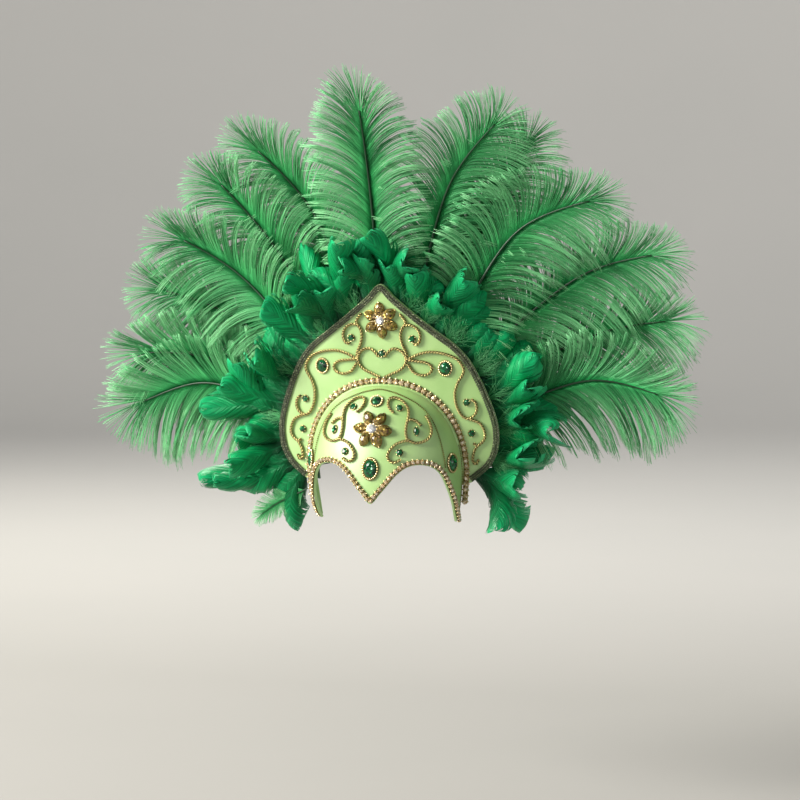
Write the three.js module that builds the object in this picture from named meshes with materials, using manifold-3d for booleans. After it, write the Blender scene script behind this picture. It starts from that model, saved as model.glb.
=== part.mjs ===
// Carnival feather headdress: a satin cap and plate with stones, scrolls, a feather ruff and plumes.
// Millimetres, +Z up, the face looks along -Y. The origin is the middle of the head at brow height.

import * as THREE from 'three';
import { mergeVertices } from 'three/addons/utils/BufferGeometryUtils.js';
import Module from 'manifold-3d';

// Gap between pieces that touch
const CLEARANCE = 0.3;

// Cap over the brow
const CAP_HALF_WIDTH = 78;
const CAP_TOP = 112;
const CAP_DEPTH = 57;
const CAP_WALL = 2.5;
const CAP_WAIST = 25;
const CAP_TAPER = 7;
const CAP_ROUNDNESS = 2.2;
const HEM_LOW = -26;
const HEM_HIGH = 35.5;

// How the cap's front falls back towards its top
const CAP_FALL_START = 1.7;
const CAP_FALL_END = 0.6;

// Plate behind the cap; it stands past the cap's sides and top
const PLATE_MARGIN = 37;
const PLATE_RISE = 101;
const PLATE_HALF_WIDTH = CAP_HALF_WIDTH + PLATE_MARGIN;
const PLATE_TOP = CAP_TOP + PLATE_RISE;
const PLATE_FOOT = 12;
const PLATE_THICKNESS = 3;
const PLATE_PLACE = -46;
const PLATE_LEAN = THREE.MathUtils.degToRad(6);
const PLATE_BOW_RADIUS = 420;

// Height of the point from which all feathers spread
const FAN_HEIGHT = 64;

// Bands of stones, braid, cord and chain
const BRAID_WIDTH = 7;
const BRAID_THICKNESS = 2.4;
const BRAID_END = 0.014;
const TRIM_WIDTH = 7;
const TRIM_PITCH = 7;
const TRIM_FOOT = -5;
const HEM_TRIM_WIDTH = 5.6;
const HEM_TRIM_PITCH = 5.6;
const TRIM_THICKNESS = 1.2;
const TRIM_GAP = 0.5;
const STONE_HEIGHT = 1.9;
const TABLE_SHARE = 0.55;
const CORD_RADIUS = 1.4;
const CHAIN_RADIUS = 0.8;

// Stones and brooches
const GEM_HEIGHT = 3;
const OVAL_HEIGHT = 4.2;
const FLOWER_HEIGHT = 6;
const FLOWER_PETALS = 6;

// Ruff of broad feathers
const RUFF_FEATHERS = 14;
const RUFF_FEATHER_WIDTH = 32;
const RUFF_REACH = 62;
const RUFF_FELT = 1.2;
const RUFF_CURL = 24;
const RUFF_ROOT_SHARE = 0.68;
const RUFF_FELT_SHARES = [0.5, 0.86];

// Ostrich plumes
const PLUME_REACH = 373;
const BARB_LENGTH = 72;
const BARB_DROOP = 16;
const PLUME_LOCKS = 7;
const QUILL_RADIUS = 2;
const PLUME_SWELL = 3;
const PLUME_LAYER_STEP = 9;
const PLUME_RISE_LENGTH = 45;
const PLUME_ROOT_SHARE = 0.15;
const PLUME_EXIT_SHARE = 0.62;
const BARB_ANGLE = 58;
const BARB_ANGLE_CLOSING = 26;
const CURL_START = 181;
const CURL_SPAN = 148;
const CURL_FORWARD = 45;

// Board and band behind the head
const BOARD_THICKNESS = 2;
const BAND_BACK = 96;
const BAND_WIDTH = 20;
const BAND_THICKNESS = 1.6;
const BAND_HEIGHT = 24;
const BAND_MARGIN = 4;
const BOARD_SHARES = [0.03, 0.42];

// Where the arch's side and top lie on the plate, in hundredths of its half width and height
const ARCH_SIDE_SHARE = 67.8;
const ARCH_TOP_SHARE = 49.75;

// Half of the plate's edge from its point down, in hundredths of its half width and height
const PLATE_EDGE = [
  { across: 0, up: 100 },
  { across: 14, up: 93 },
  { across: 33, up: 84 },
  { across: 50, up: 76.5 },
  { across: 65, up: 70 },
  { across: 76.5, up: 62.5 },
  { across: 85, up: 53.5 },
  { across: 92, up: 44 },
  { across: 98, up: 33.5 },
  { across: 100, up: 25 },
  { across: 98, up: 16.5 },
  { across: 92, up: 9.5 },
  { across: 84, up: 5 },
  { across: 75, up: 1 },
];

// Half of the cap's hem from the peak back, in hundredths of the quarter turn and of the hem's rise
const HEM_EDGE = [
  { turn: 0, up: 37 },
  { turn: 8, up: 53 },
  { turn: 14.5, up: 68 },
  { turn: 22, up: 85 },
  { turn: 31, up: 97 },
  { turn: 42, up: 100 },
  { turn: 54, up: 95 },
  { turn: 63, up: 82 },
  { turn: 71, up: 60 },
  { turn: 80, up: 37 },
  { turn: 90, up: 14 },
  { turn: 100, up: 0 },
];

// Cord scrolls on the right half of the plate, in hundredths of its half width and height
const PLATE_SCROLLS = [
  [[17, 85.5], [20, 83.5], [22, 81], [18.5, 77.5], [17.5, 74], [19, 70], [22, 66], [22.5, 62.5]],
  [[20.5, 79.5], [26, 80], [31.5, 78.5], [34.5, 75.5], [34, 72], [31, 70]],
  [[22.5, 62.5], [31, 65], [40, 66.5], [48.5, 66.5], [57, 65.5], [65, 63.5], [70, 60], [71, 56.5], [66, 51.5]],
  [[22.5, 62.5], [30.5, 62], [38, 61.5], [43, 60], [44, 57.5], [40.5, 55.5], [34.5, 55], [28, 56.5], [23, 60.5]],
  [[6.5, 65.5], [8.5, 67.5], [13, 68], [18.5, 66.5], [21.5, 63.5], [21, 60.5], [16.5, 57.5], [7, 55.5]],
  [[66, 51.5], [63.5, 47], [63.5, 42.5], [65.5, 38], [69.5, 34.5], [74, 33.5], [79, 35], [81.5, 38], [80.5, 41]],
  [[74, 33.5], [79, 32.5], [84, 31], [87, 28], [88, 24.5], [86, 22], [81.5, 20], [78, 21]],
  [[81.5, 20], [78.5, 17], [77, 13.5], [78, 11], [80.5, 11], [82, 13]],
];

// Cord scrolls on the right half of the cap, in hundredths of the quarter turn and of the cap's top
const CAP_SCROLLS = [
  [[21, 76.5], [17.5, 79], [15, 83.5], [18, 88], [26, 89], [34, 87], [38, 82], [37, 76], [33.5, 69.5], [31, 63.5],
    [30.5, 57], [32, 52.5]],
  [[33.5, 69.5], [38, 71], [43, 69.5], [47, 65.5]],
  [[57, 74], [58, 69], [57.5, 62.5], [54, 56.5], [47.5, 52.5], [39, 51], [31, 53], [22, 50.5], [16.5, 45.5],
    [14, 40], [16, 35.5], [20.5, 34.5], [25, 37]],
];

// Fine chain from the cap's side over its top, in the same shares
const CAP_CHAIN = [[67, 29], [65.5, 46], [64.5, 60], [63.5, 70], [59, 80.5], [49, 87.5], [30, 93.3], [0, 96]];

// Stones: the place in shares as above, half width and half height in millimetres; a pair stands on both sides
const PLATE_GEMS = [
  { name: 'heart_gem', at: [0, 65.5], wide: 4, high: 4 },
  { name: 'spiral_gem', at: [27.5, 73], wide: 3.8, high: 3.8, pair: true },
  { name: 'edge_gem', at: [73, 41.5], wide: 3.8, high: 3.8, pair: true },
  { name: 'side_gem', at: [76.5, 26], wide: 3.8, high: 3.8, pair: true },
  { name: 'plate_oval', at: [55.5, 58.5], wide: 7.5, high: 8.5, ringed: true, pair: true },
];
const CAP_GEMS = [
  { name: 'crown_gem', at: [0, 86.5], wide: 7, high: 7, ringed: true },
  { name: 'peak_oval', at: [0, 28.5], wide: 9, high: 12, ringed: true },
  { name: 'brow_gem', at: [28.5, 81], wide: 3.8, high: 3.8, pair: true },
  { name: 'flank_gem', at: [41, 61], wide: 3.2, high: 4.8, pair: true },
  { name: 'low_gem', at: [24, 42.8], wide: 3.8, high: 3.8, pair: true },
  { name: 'temple_oval', at: [77, 32], wide: 7.5, high: 10.5, ringed: true, pair: true },
];
const PLATE_FLOWER = { name: 'plate_flower', at: [0, 82], radius: 18.5, turn: 25 };
const CAP_FLOWER = { name: 'cap_flower', at: [0, 62.5], radius: 20, turn: 5 };

// Plumes from left to right: degrees from upright at root, middle and tip, reach as a share, layer behind the ruff
const PLUMES = [
  { root: -80, middle: -79, tip: -89, reach: 0.82, layer: 0 },
  { root: -72, middle: -72, tip: -77, reach: 0.835, layer: 1 },
  { root: -57, middle: -58.5, tip: -63, reach: 0.85, layer: 2 },
  { root: -46.5, middle: -46, tip: -50.5, reach: 0.865, layer: 0 },
  { root: -33, middle: -33.5, tip: -35.5, reach: 0.905, layer: 1 },
  { root: -18.5, middle: -20, tip: -27, reach: 0.93, layer: 2 },
  { root: -2.5, middle: -2, tip: -1, reach: 0.975, layer: 0 },
  { root: 13.5, middle: 16, tip: 25, reach: 1, layer: 1 },
  { root: 24, middle: 25, tip: 29, reach: 0.985, layer: 2 },
  { root: 34.5, middle: 34, tip: 46, reach: 0.94, layer: 0 },
  { root: 50.5, middle: 51, tip: 59, reach: 0.97, layer: 1 },
  { root: 64.5, middle: 64.5, tip: 69.5, reach: 0.895, layer: 2 },
  { root: 79, middle: 75.5, tip: 84.5, reach: 0.81, layer: 0 },
];

// Finish of each kind of piece
const FINISHES = {
  satin: { color: 0xafe58c, roughness: 0.35, metalness: 0 },
  braid: { color: 0x55502f, roughness: 0.5, metalness: 0.4 },
  gold: { color: 0xc4a75e, roughness: 0.3, metalness: 0.9 },
  champagne: { color: 0xd9bd84, roughness: 0.1, metalness: 0.3 },
  emerald: { color: 0x0b6b3a, roughness: 0.1, metalness: 0.1 },
  amber: { color: 0xd79a34, roughness: 0.2, metalness: 0.3 },
  ruff: { color: 0x0c8048, roughness: 0.6, metalness: 0 },
  plume: { color: 0x3fae6a, roughness: 0.8, metalness: 0 },
  felt: { color: 0x1d5a34, roughness: 0.9, metalness: 0 },
  elastic: { color: 0x2c3a2e, roughness: 0.8, metalness: 0 },
};

const wasm = await Module();
wasm.setup();

// Closed geometry from a list of corner points, three to a triangle, with its faces turned out
function closedGeometry(corners) {
  const geometry = mergeVertices(new THREE.BufferGeometry().setFromPoints(corners));
  const index = Array.from(geometry.index.array);
  let volume = 0;
  for (let i = 0; i < corners.length; i += 3) {
    volume += corners[i].dot(corners[i + 1].clone().cross(corners[i + 2]));
  }
  geometry.setIndex(volume < 0 ? index.reverse() : index);
  geometry.computeVertexNormals();
  return geometry;
}

// Triangles of a face with three or four corners, less those that have no area
function addFace(corners, a, b, c, d) {
  const same = (p, q) => p.distanceToSquared(q) < 1e-6;
  if (!same(a, b) && !same(b, c) && !same(c, a)) {
    corners.push(a, b, c);
  }
  if (d && !same(a, c) && !same(c, d) && !same(d, a)) {
    corners.push(a, c, d);
  }
}

// Solid between two grids of points of the same size; where the grids' borders meet it has a sharp edge
function solidBetween(front, back) {
  const corners = [];
  const last = front.length - 1;
  const rim = front[0].length - 1;
  for (let i = 0; i < last; i += 1) {
    for (let j = 0; j < rim; j += 1) {
      addFace(corners, front[i][j], front[i + 1][j], front[i + 1][j + 1], front[i][j + 1]);
      addFace(corners, back[i][j], back[i][j + 1], back[i + 1][j + 1], back[i + 1][j]);
    }
    addFace(corners, front[i][0], back[i][0], back[i + 1][0], front[i + 1][0]);
    addFace(corners, front[i][rim], front[i + 1][rim], back[i + 1][rim], back[i][rim]);
  }
  for (let j = 0; j < rim; j += 1) {
    addFace(corners, front[0][j], front[0][j + 1], back[0][j + 1], back[0][j]);
    addFace(corners, front[last][j], back[last][j], back[last][j + 1], front[last][j + 1]);
  }
  return closedGeometry(corners);
}

// Solid through a stack of closed loops, with flat ends
function lofted(loops) {
  const corners = [];
  const sides = loops[0].length;
  for (let k = 0; k + 1 < loops.length; k += 1) {
    for (let i = 0; i < sides; i += 1) {
      const next = (i + 1) % sides;
      addFace(corners, loops[k][i], loops[k][next], loops[k + 1][next], loops[k + 1][i]);
    }
  }
  const end = loops[loops.length - 1];
  for (let i = 1; i + 1 < sides; i += 1) {
    addFace(corners, loops[0][0], loops[0][i + 1], loops[0][i]);
    addFace(corners, end[0], end[i], end[i + 1]);
  }
  return closedGeometry(corners);
}

function toSolid(geometry) {
  const bare = geometry.clone();
  bare.deleteAttribute('normal');
  bare.deleteAttribute('uv');
  const merged = mergeVertices(bare);
  return new wasm.Manifold(new wasm.Mesh({
    numProp: 3,
    vertProperties: new Float32Array(merged.attributes.position.array),
    triVerts: new Uint32Array(merged.index.array),
  }));
}

// One body from pieces that overlap
function fused(geometries) {
  const solid = geometries.map(toSolid).reduce((sum, piece) => sum.add(piece));
  const mesh = solid.getMesh();
  const geometry = new THREE.BufferGeometry();
  geometry.setAttribute('position', new THREE.BufferAttribute(mesh.vertProperties, 3));
  geometry.setIndex(Array.from(mesh.triVerts));
  geometry.computeVertexNormals();
  return geometry;
}

// Tube along a path
function tube(path, radius, sides, steps) {
  const section = new THREE.Shape(
    new THREE.Path().absarc(0, 0, radius, 0, 2 * Math.PI).getSpacedPoints(sides).slice(0, sides),
  );
  return new THREE.ExtrudeGeometry(section, { steps, bevelEnabled: false, extrudePath: path });
}

// Place of the plate's front face in depth; past the plate's sides it runs on straight
function plateDepth(across, up) {
  const inner = Math.min(Math.abs(across), PLATE_HALF_WIDTH);
  const outer = Math.abs(across) - inner;
  const bow = (inner ** 2 / 2 + outer * inner) / PLATE_BOW_RADIUS;
  return PLATE_PLACE - Math.tan(PLATE_LEAN) * (up - FAN_HEIGHT) + bow;
}

function plateSkin(across, up) {
  return new THREE.Vector3(across, plateDepth(across, up), up);
}

// Half width of the cap at a height, for its outside (offset 0) or another offset
function capHalfWidth(up, offset) {
  const wide = CAP_HALF_WIDTH + offset;
  if (up < CAP_WAIST) {
    return wide - CAP_TAPER * ((CAP_WAIST - up) / (CAP_WAIST - HEM_LOW)) ** 2;
  }
  const rise = Math.min(1, (up - CAP_WAIST) / (CAP_TOP + offset - CAP_WAIST));
  return wide * (1 - rise ** CAP_ROUNDNESS) ** (1 / CAP_ROUNDNESS);
}

// Point of the cap: turn is in degrees from the middle of the brow
function capSkin(turn, up, offset = 0) {
  const angle = THREE.MathUtils.degToRad(turn);
  const across = capHalfWidth(up, offset) * Math.sin(angle);
  const rise = THREE.MathUtils.clamp(up / (CAP_TOP + offset), 0, 1);
  const deep = (CAP_DEPTH + offset) * (1 - rise ** CAP_FALL_START) ** CAP_FALL_END;
  return new THREE.Vector3(across, plateDepth(across, up) - CLEARANCE - deep * Math.cos(angle), up);
}

// Local axes on a skin: right, up and out, and how far a unit of each coordinate reaches
function frameOn(skin, a, b) {
  const step = 0.01;
  const at = skin(a, b);
  const right = skin(a + step, b).sub(skin(a - step, b)).divideScalar(2 * step);
  const rise = skin(a, b + step).sub(skin(a, b - step)).divideScalar(2 * step);
  const out = right.clone().cross(rise).normalize();
  return {
    at, out, rightScale: right.length(), upScale: rise.length(),
    right: right.normalize(), up: out.clone().cross(right).normalize(),
  };
}

function lifted(skin, a, b, lift) {
  const frame = frameOn(skin, a, b);
  return frame.at.addScaledVector(frame.out, lift);
}

// Curve that follows a route over a skin at a height above it
class SkinCurve extends THREE.Curve {
  constructor(skin, route, lift) {
    super();
    this.skin = skin;
    this.route = new THREE.SplineCurve(route.map(([a, b]) => new THREE.Vector2(a, b)));
    this.lift = lift;
  }

  getPoint(t, target = new THREE.Vector3()) {
    const spot = this.route.getPoint(t);
    return target.copy(lifted(this.skin, spot.x, spot.y, this.lift));
  }

  // Axes at a share of the curve's length
  frameAt(share) {
    const spot = this.route.getPoint(this.getUtoTmapping(share));
    const out = frameOn(this.skin, spot.x, spot.y).out;
    const along = this.getTangentAt(share);
    return { at: this.getPointAt(share), out, along, side: out.clone().cross(along).normalize() };
  }
}

// Coordinates on the plate and on the cap from hundredths; inside the arch's lines they follow the cap's size,
// and past them the plate's margin and rise
function plateSpot([across, up]) {
  const inner = Math.min(across, ARCH_SIDE_SHARE) / ARCH_SIDE_SHARE;
  const outer = Math.max(0, across - ARCH_SIDE_SHARE) / (100 - ARCH_SIDE_SHARE);
  const low = Math.min(up, ARCH_TOP_SHARE) / ARCH_TOP_SHARE;
  const high = Math.max(0, up - ARCH_TOP_SHARE) / (100 - ARCH_TOP_SHARE);
  return [
    inner * CAP_HALF_WIDTH + outer * PLATE_MARGIN,
    PLATE_FOOT + low * (CAP_TOP - PLATE_FOOT) + high * PLATE_RISE,
  ];
}

function capSpot([turn, up]) {
  return [turn / 100 * 90, up / 100 * CAP_TOP];
}

// The whole line from its right half, which starts in the middle
function mirrored(right) {
  const left = right.slice(1).map(([a, b]) => [-a, b]).reverse();
  return [...left, ...right];
}

function curveThrough(points) {
  return new THREE.SplineCurve(points.map(([a, b]) => new THREE.Vector2(a, b)));
}

// Line of the arch at an offset outside the cap, from one foot over the top to the other
function archLine(offset, foot) {
  const half = [];
  for (let i = 0; i <= 12; i += 1) {
    const angle = i / 12 * Math.PI / 2;
    const across = (CAP_HALF_WIDTH + offset) * Math.sin(angle) ** (2 / CAP_ROUNDNESS);
    const rise = (CAP_TOP + offset - CAP_WAIST) * Math.max(0, Math.cos(angle)) ** (2 / CAP_ROUNDNESS);
    half.push([across, CAP_WAIST + rise]);
  }
  half.push([capHalfWidth(foot, offset), foot]);
  return mirrored(half);
}

const PLATE_LINE = curveThrough(mirrored(PLATE_EDGE.map((row) => plateSpot([row.across, row.up]))));
const ARCH_LINE = curveThrough(archLine(-CAP_WALL, PLATE_FOOT));

// Point of the plate between its arch (share 0) and its edge (share 1)
function plateSpan(along, share) {
  return ARCH_LINE.getPointAt(along).lerp(PLATE_LINE.getPointAt(along), share);
}

// Flat layer of the plate's shape between two shares of its width and two depths behind its front
function plateLayer(shares, near, far, columns) {
  const grid = (depth) => Array.from({ length: columns + 1 }, (_, i) => shares.map((share) => {
    const spot = plateSpan(i / columns, share);
    return new THREE.Vector3(spot.x, plateDepth(spot.x, spot.y) + depth, spot.y);
  }));
  return solidBetween(grid(near), grid(far));
}

// Flat band along a curve over a skin, between two heights above it
function ribbon(curve, width, low, high, steps) {
  const grid = (lift) => Array.from({ length: steps + 1 }, (_, i) => {
    const frame = curve.frameAt(i / steps);
    return [-width / 2, width / 2].map((shift) => frame.at.clone()
      .addScaledVector(frame.side, shift).addScaledVector(frame.out, lift));
  });
  return solidBetween(grid(high), grid(low));
}

// Row of cut stones in cups that join edge to edge; each stone has a square table and eight facets.
// The share says how wide the joint between two cups is: 1 gives square cups, less gives eight-sided ones.
function stoneBand(curve, width, pitch, share) {
  const count = Math.round(curve.getLength() / pitch);
  const frames = Array.from({ length: 2 * count + 1 }, (_, i) => curve.frameAt(i / (2 * count)));
  const corners = [];
  for (let i = 1; i < 2 * count; i += 2) {
    const spot = (k, side, lift) => frames[i + k].at.clone()
      .addScaledVector(frames[i + k].side, side * width / 2)
      .addScaledVector(frames[i + k].out, lift);
    const joint = (k, side, lift) => spot(k, 0, lift).lerp(spot(k, side, lift), share);
    const shoulder = (k, side, lift) => spot(0, side, lift).lerp(spot(k, side, lift), share);
    const ring = (lift) => [
      joint(-1, -1, lift), shoulder(-1, -1, lift), shoulder(1, -1, lift), joint(1, -1, lift),
      joint(1, 1, lift), shoulder(1, 1, lift), shoulder(-1, 1, lift), joint(-1, 1, lift),
    ];
    const low = ring(0);
    const high = ring(TRIM_THICKNESS);
    const crown = TRIM_THICKNESS + STONE_HEIGHT;
    const table = [[-1, 0], [0, -1], [1, 0], [0, 1]].map(([along, side]) => spot(0, TABLE_SHARE * side, crown)
      .addScaledVector(frames[i].along, TABLE_SHARE * along * width / 2));
    for (let k = 0; k < 8; k += 1) {
      const next = (k + 1) % 8;
      const open = k !== 3 && k !== 7;
      if (open || (k === 7 && i === 1) || (k === 3 && i === 2 * count - 1)) {
        addFace(corners, low[k], low[next], high[next], high[k]);
      }
      if (k > 0 && k < 7) {
        addFace(corners, low[0], low[k + 1], low[k]);
      }
    }
    for (let k = 0; k < 4; k += 1) {
      const edge = 2 * k;
      addFace(corners, high[(edge + 7) % 8], high[edge], table[k]);
      addFace(corners, high[edge], high[edge + 1], table[(k + 1) % 4], table[k]);
    }
    addFace(corners, ...table);
  }
  return closedGeometry(corners);
}

// Stone standing on a skin; a ringed one has a raised setting round it
function gem(skin, spot, row) {
  const frame = frameOn(skin, ...spot);
  const sides = row.ringed ? 12 : 8;
  const levels = row.ringed
    ? [[1, 0], [0.95, 0.45], [0.7, 0.3], [0.64, 0.6], [0.36, 1]]
    : [[1, 0], [1, 0.4], [0.55, 1]];
  const height = row.ringed ? OVAL_HEIGHT : GEM_HEIGHT;
  return lofted(levels.map(([share, rise]) => Array.from({ length: sides }, (_, i) => {
    const angle = (i + 0.5) / sides * 2 * Math.PI;
    return frame.at.clone()
      .addScaledVector(frame.right, row.wide * share * Math.cos(angle))
      .addScaledVector(frame.up, row.high * share * Math.sin(angle))
      .addScaledVector(frame.out, CLEARANCE + height * rise);
  })));
}

// Brooch of round petals that follows the skin under it, turned clockwise by degrees
function flower(skin, [a, b], { radius, turn }) {
  const frame = frameOn(skin, a, b);
  const columns = 3 * FLOWER_PETALS;
  const loop = (reach, scallop, rise) => Array.from({ length: columns }, (_, i) => {
    const angle = THREE.MathUtils.degToRad(90 - turn + 360 * i / columns);
    const petal = i % 3 === 0 ? 1 - scallop : 1;
    const right = radius * reach * petal * Math.cos(angle) / frame.rightScale;
    const up = radius * reach * petal * Math.sin(angle) / frame.upScale;
    return lifted(skin, a + right, b + up, CLEARANCE + FLOWER_HEIGHT * rise);
  });
  return lofted([
    loop(0.3, 0, 0.08), loop(1, 0.3, 0), loop(0.94, 0.3, 0.25), loop(0.6, 0.2, 0.7), loop(0.2, 0, 1),
  ]);
}

// Cap: a hollow wall from the hem up to the top of the arch
function crownCap() {
  const columns = 24;
  const rows = 7;
  const hem = new THREE.SplineCurve(mirrored(HEM_EDGE.map((row) => hemSpot(row)))
    .map(([turn, up]) => new THREE.Vector2(turn, up)));
  const grid = (offset) => Array.from({ length: columns + 1 }, (_, i) => {
    const foot = hem.getPoint(i / columns);
    return Array.from({ length: rows + 1 }, (__, j) => {
      const rise = 1 - (1 - j / rows) ** 2;
      return capSkin(foot.x, foot.y + rise * (CAP_TOP + offset - foot.y), offset);
    });
  });
  return solidBetween(grid(0), grid(-CAP_WALL));
}

function hemSpot(row) {
  return [row.turn / 100 * 90, HEM_LOW + row.up / 100 * (HEM_HIGH - HEM_LOW)];
}

// Line on the cap's skin above the hem by a distance measured square to it
function aboveHem(distance) {
  const hem = new SkinCurve(capSkin, mirrored(HEM_EDGE.map(hemSpot)), 0);
  const steps = 40;
  return Array.from({ length: steps + 1 }, (_, i) => {
    const t = i / steps;
    const spot = hem.route.getPoint(t);
    const frame = frameOn(capSkin, spot.x, spot.y);
    const along = hem.getTangent(t);
    const side = frame.out.clone().cross(along).normalize();
    return [
      spot.x + distance * side.dot(frame.right) / frame.rightScale,
      spot.y + distance * side.dot(frame.up) / frame.upScale,
    ];
  });
}

// Radius of an edge line round the fan's centre at an angle from upright
function reachAt(line, degrees) {
  let best = { gap: Infinity, reach: 0 };
  for (let i = 0; i <= 400; i += 1) {
    const spot = line.getPoint(i / 400);
    const angle = THREE.MathUtils.radToDeg(Math.atan2(spot.x, spot.y - FAN_HEIGHT));
    const gap = Math.abs(angle - degrees);
    if (gap < best.gap) {
      best = { gap, reach: Math.hypot(spot.x, spot.y - FAN_HEIGHT) };
    }
  }
  return best.reach;
}

// Point of the feather fan at a depth behind the plate's front; far feathers curl forward
function fanPoint(across, up, depth) {
  const reach = Math.hypot(across, up - FAN_HEIGHT);
  const past = Math.max(0, reach - CURL_START) / CURL_SPAN;
  return new THREE.Vector3(across, plateDepth(across, up) + depth - CURL_FORWARD * past ** 2, up);
}

function polar(degrees, reach) {
  const angle = THREE.MathUtils.degToRad(degrees);
  return new THREE.Vector2(reach * Math.sin(angle), FAN_HEIGHT + reach * Math.cos(angle));
}

// Depths behind the plate's front of the ruff's felts, the quills and the board
const RUFF_SLOT = RUFF_FELT + CLEARANCE;
const RUFF_NEAR = PLATE_THICKNESS + CLEARANCE;
const QUILL_DEPTH = RUFF_NEAR + 3 * RUFF_SLOT + CLEARANCE + QUILL_RADIUS;
const BOARD_NEAR = QUILL_DEPTH + QUILL_RADIUS + CLEARANCE;

// One broad feather of the ruff: distances past the plate's edge, width shares and the fall of its line
function ruffFeather(along, depth, reach, curl) {
  const root = plateSpan(along, RUFF_ROOT_SHARE);
  const edge = PLATE_LINE.getPointAt(along);
  const tangent = PLATE_LINE.getTangentAt(along);
  const outward = new THREE.Vector2(-tangent.y, tangent.x);
  const radial = new THREE.Vector2(edge.x, edge.y - FAN_HEIGHT).normalize();
  outward.add(radial).normalize();
  const side = new THREE.Vector2(outward.y, -outward.x);
  const stations = [
    { past: null, wide: 0.3 },
    { past: 0.08, wide: 0.7 },
    { past: 0.62, wide: 1 },
    { past: 1, wide: 0.42 },
  ];
  const grid = (swell) => stations.map(({ past, wide }) => {
    const middle = past === null ? root : edge.clone().addScaledVector(outward, past * reach);
    const forward = curl * Math.max(0, (past ?? 0) - 0.1) ** 2;
    return [-1, 0, 1].map((shift) => {
      const spot = middle.clone().addScaledVector(side, shift * wide * RUFF_FEATHER_WIDTH / 2);
      return fanPoint(spot.x, spot.y, depth - forward + (shift === 0 ? swell : 0));
    });
  });
  const swell = 0.45 * RUFF_FELT;
  return solidBetween(grid(-swell), grid(swell));
}

// A ring of the ruff: a felt strip behind the plate with its feathers fused to it
function ruffRing(layer) {
  const near = RUFF_NEAR + layer * RUFF_SLOT;
  const felt = plateLayer(RUFF_FELT_SHARES, near, near + RUFF_FELT, 12);
  const reach = RUFF_REACH * (0.68 + 0.16 * layer);
  const curl = RUFF_CURL * (1 - 0.38 * layer);
  const feathers = Array.from({ length: RUFF_FEATHERS }, (_, i) => (
    ruffFeather((i + 0.2 + 0.3 * layer) / RUFF_FEATHERS, near + RUFF_FELT / 2, reach, curl)
  ));
  return fused([felt, ...feathers]);
}

// An ostrich plume: a quill with locks of barbs on both sides, thick at the quill and sharp at the locks
function plume(row) {
  const reach = row.reach * PLUME_REACH;
  const inner = reachAt(ARCH_LINE, row.root);
  const outer = reachAt(PLATE_LINE, row.root);
  const rootReach = inner + PLUME_ROOT_SHARE * (outer - inner);
  const exit = inner + PLUME_EXIT_SHARE * (outer - inner);
  const spine = new THREE.SplineCurve([
    polar(row.root, rootReach), polar(row.root, outer), polar(row.middle, 0.7 * reach), polar(row.tip, reach),
  ]);
  const shareAt = (distance) => (distance - rootReach) / (reach - rootReach);
  const barbed = shareAt(outer);
  const stations = [
    { share: 0, barb: 0 },
    { share: shareAt(exit), barb: 0 },
  ];
  for (let i = 0; i < 2 * PLUME_LOCKS; i += 1) {
    const run = i / (2 * PLUME_LOCKS);
    const full = 0.74 + 1.05 * run - 1.55 * run ** 2;
    stations.push({ share: barbed + (1 - barbed) * run, barb: i % 2 === 0 ? 0.62 * full : full });
  }
  stations.push({ share: 1, barb: 0 });
  const drift = (distance) => {
    const past = THREE.MathUtils.smoothstep(distance, exit, exit + PLUME_RISE_LENGTH);
    return QUILL_DEPTH + past * (PLUME_SWELL + row.layer * PLUME_LAYER_STEP);
  };
  const grid = (swell) => stations.map(({ share, barb }) => {
    const middle = spine.getPointAt(share);
    const along = spine.getTangentAt(share);
    const side = new THREE.Vector2(along.y, -along.x);
    const flare = THREE.MathUtils.degToRad(BARB_ANGLE - BARB_ANGLE_CLOSING * share);
    const quill = QUILL_RADIUS * (1 - 0.6 * share);
    return [-1, 0, 1].map((shift) => {
      const spot = middle.clone();
      const length = barb * BARB_LENGTH;
      if (share < 1) {
        spot.addScaledVector(side, shift * (quill + length * Math.sin(flare)));
        spot.addScaledVector(along, Math.abs(shift) * length * Math.cos(flare));
        spot.y -= Math.abs(shift) * BARB_DROOP * barb ** 2;
      }
      const distance = Math.hypot(spot.x, spot.y - FAN_HEIGHT);
      const thick = shift === 0 && share < 1 ? swell * THREE.MathUtils.lerp(QUILL_RADIUS, PLUME_SWELL, share) : 0;
      return fanPoint(spot.x, spot.y, drift(distance) + thick);
    });
  });
  return solidBetween(grid(-1), grid(1));
}

// Elastic band round the back of the head, from one side of the board to the other
function backBand() {
  const across = CAP_HALF_WIDTH + BAND_MARGIN;
  const start = plateDepth(across, BAND_HEIGHT) + BOARD_NEAR + BOARD_THICKNESS + CLEARANCE;
  const outline = new THREE.Shape();
  outline.absellipse(0, start, across, BAND_BACK - start, 0, Math.PI);
  outline.absellipse(0, start, across - BAND_THICKNESS, BAND_BACK - BAND_THICKNESS - start, Math.PI, 0, true);
  const band = new THREE.ExtrudeGeometry(outline, { depth: BAND_WIDTH, bevelEnabled: false, curveSegments: 11 });
  band.translate(0, 0, BAND_HEIGHT);
  return band;
}

// Scrolls of one side; the left ones are the right ones mirrored
function scrolls(skin, place, rows, side) {
  return fused(rows.map((row) => {
    const route = row.map(place).map(([a, b]) => [side * a, b]);
    const path = new SkinCurve(skin, route, CORD_RADIUS + CLEARANCE);
    return tube(path, CORD_RADIUS, 4, Math.max(3, Math.round(path.getLength() / 8)));
  }));
}

const group = new THREE.Group();

function add(name, geometry, finish) {
  const mesh = new THREE.Mesh(geometry, new THREE.MeshStandardMaterial(FINISHES[finish]));
  mesh.name = name;
  group.add(mesh);
}

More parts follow.
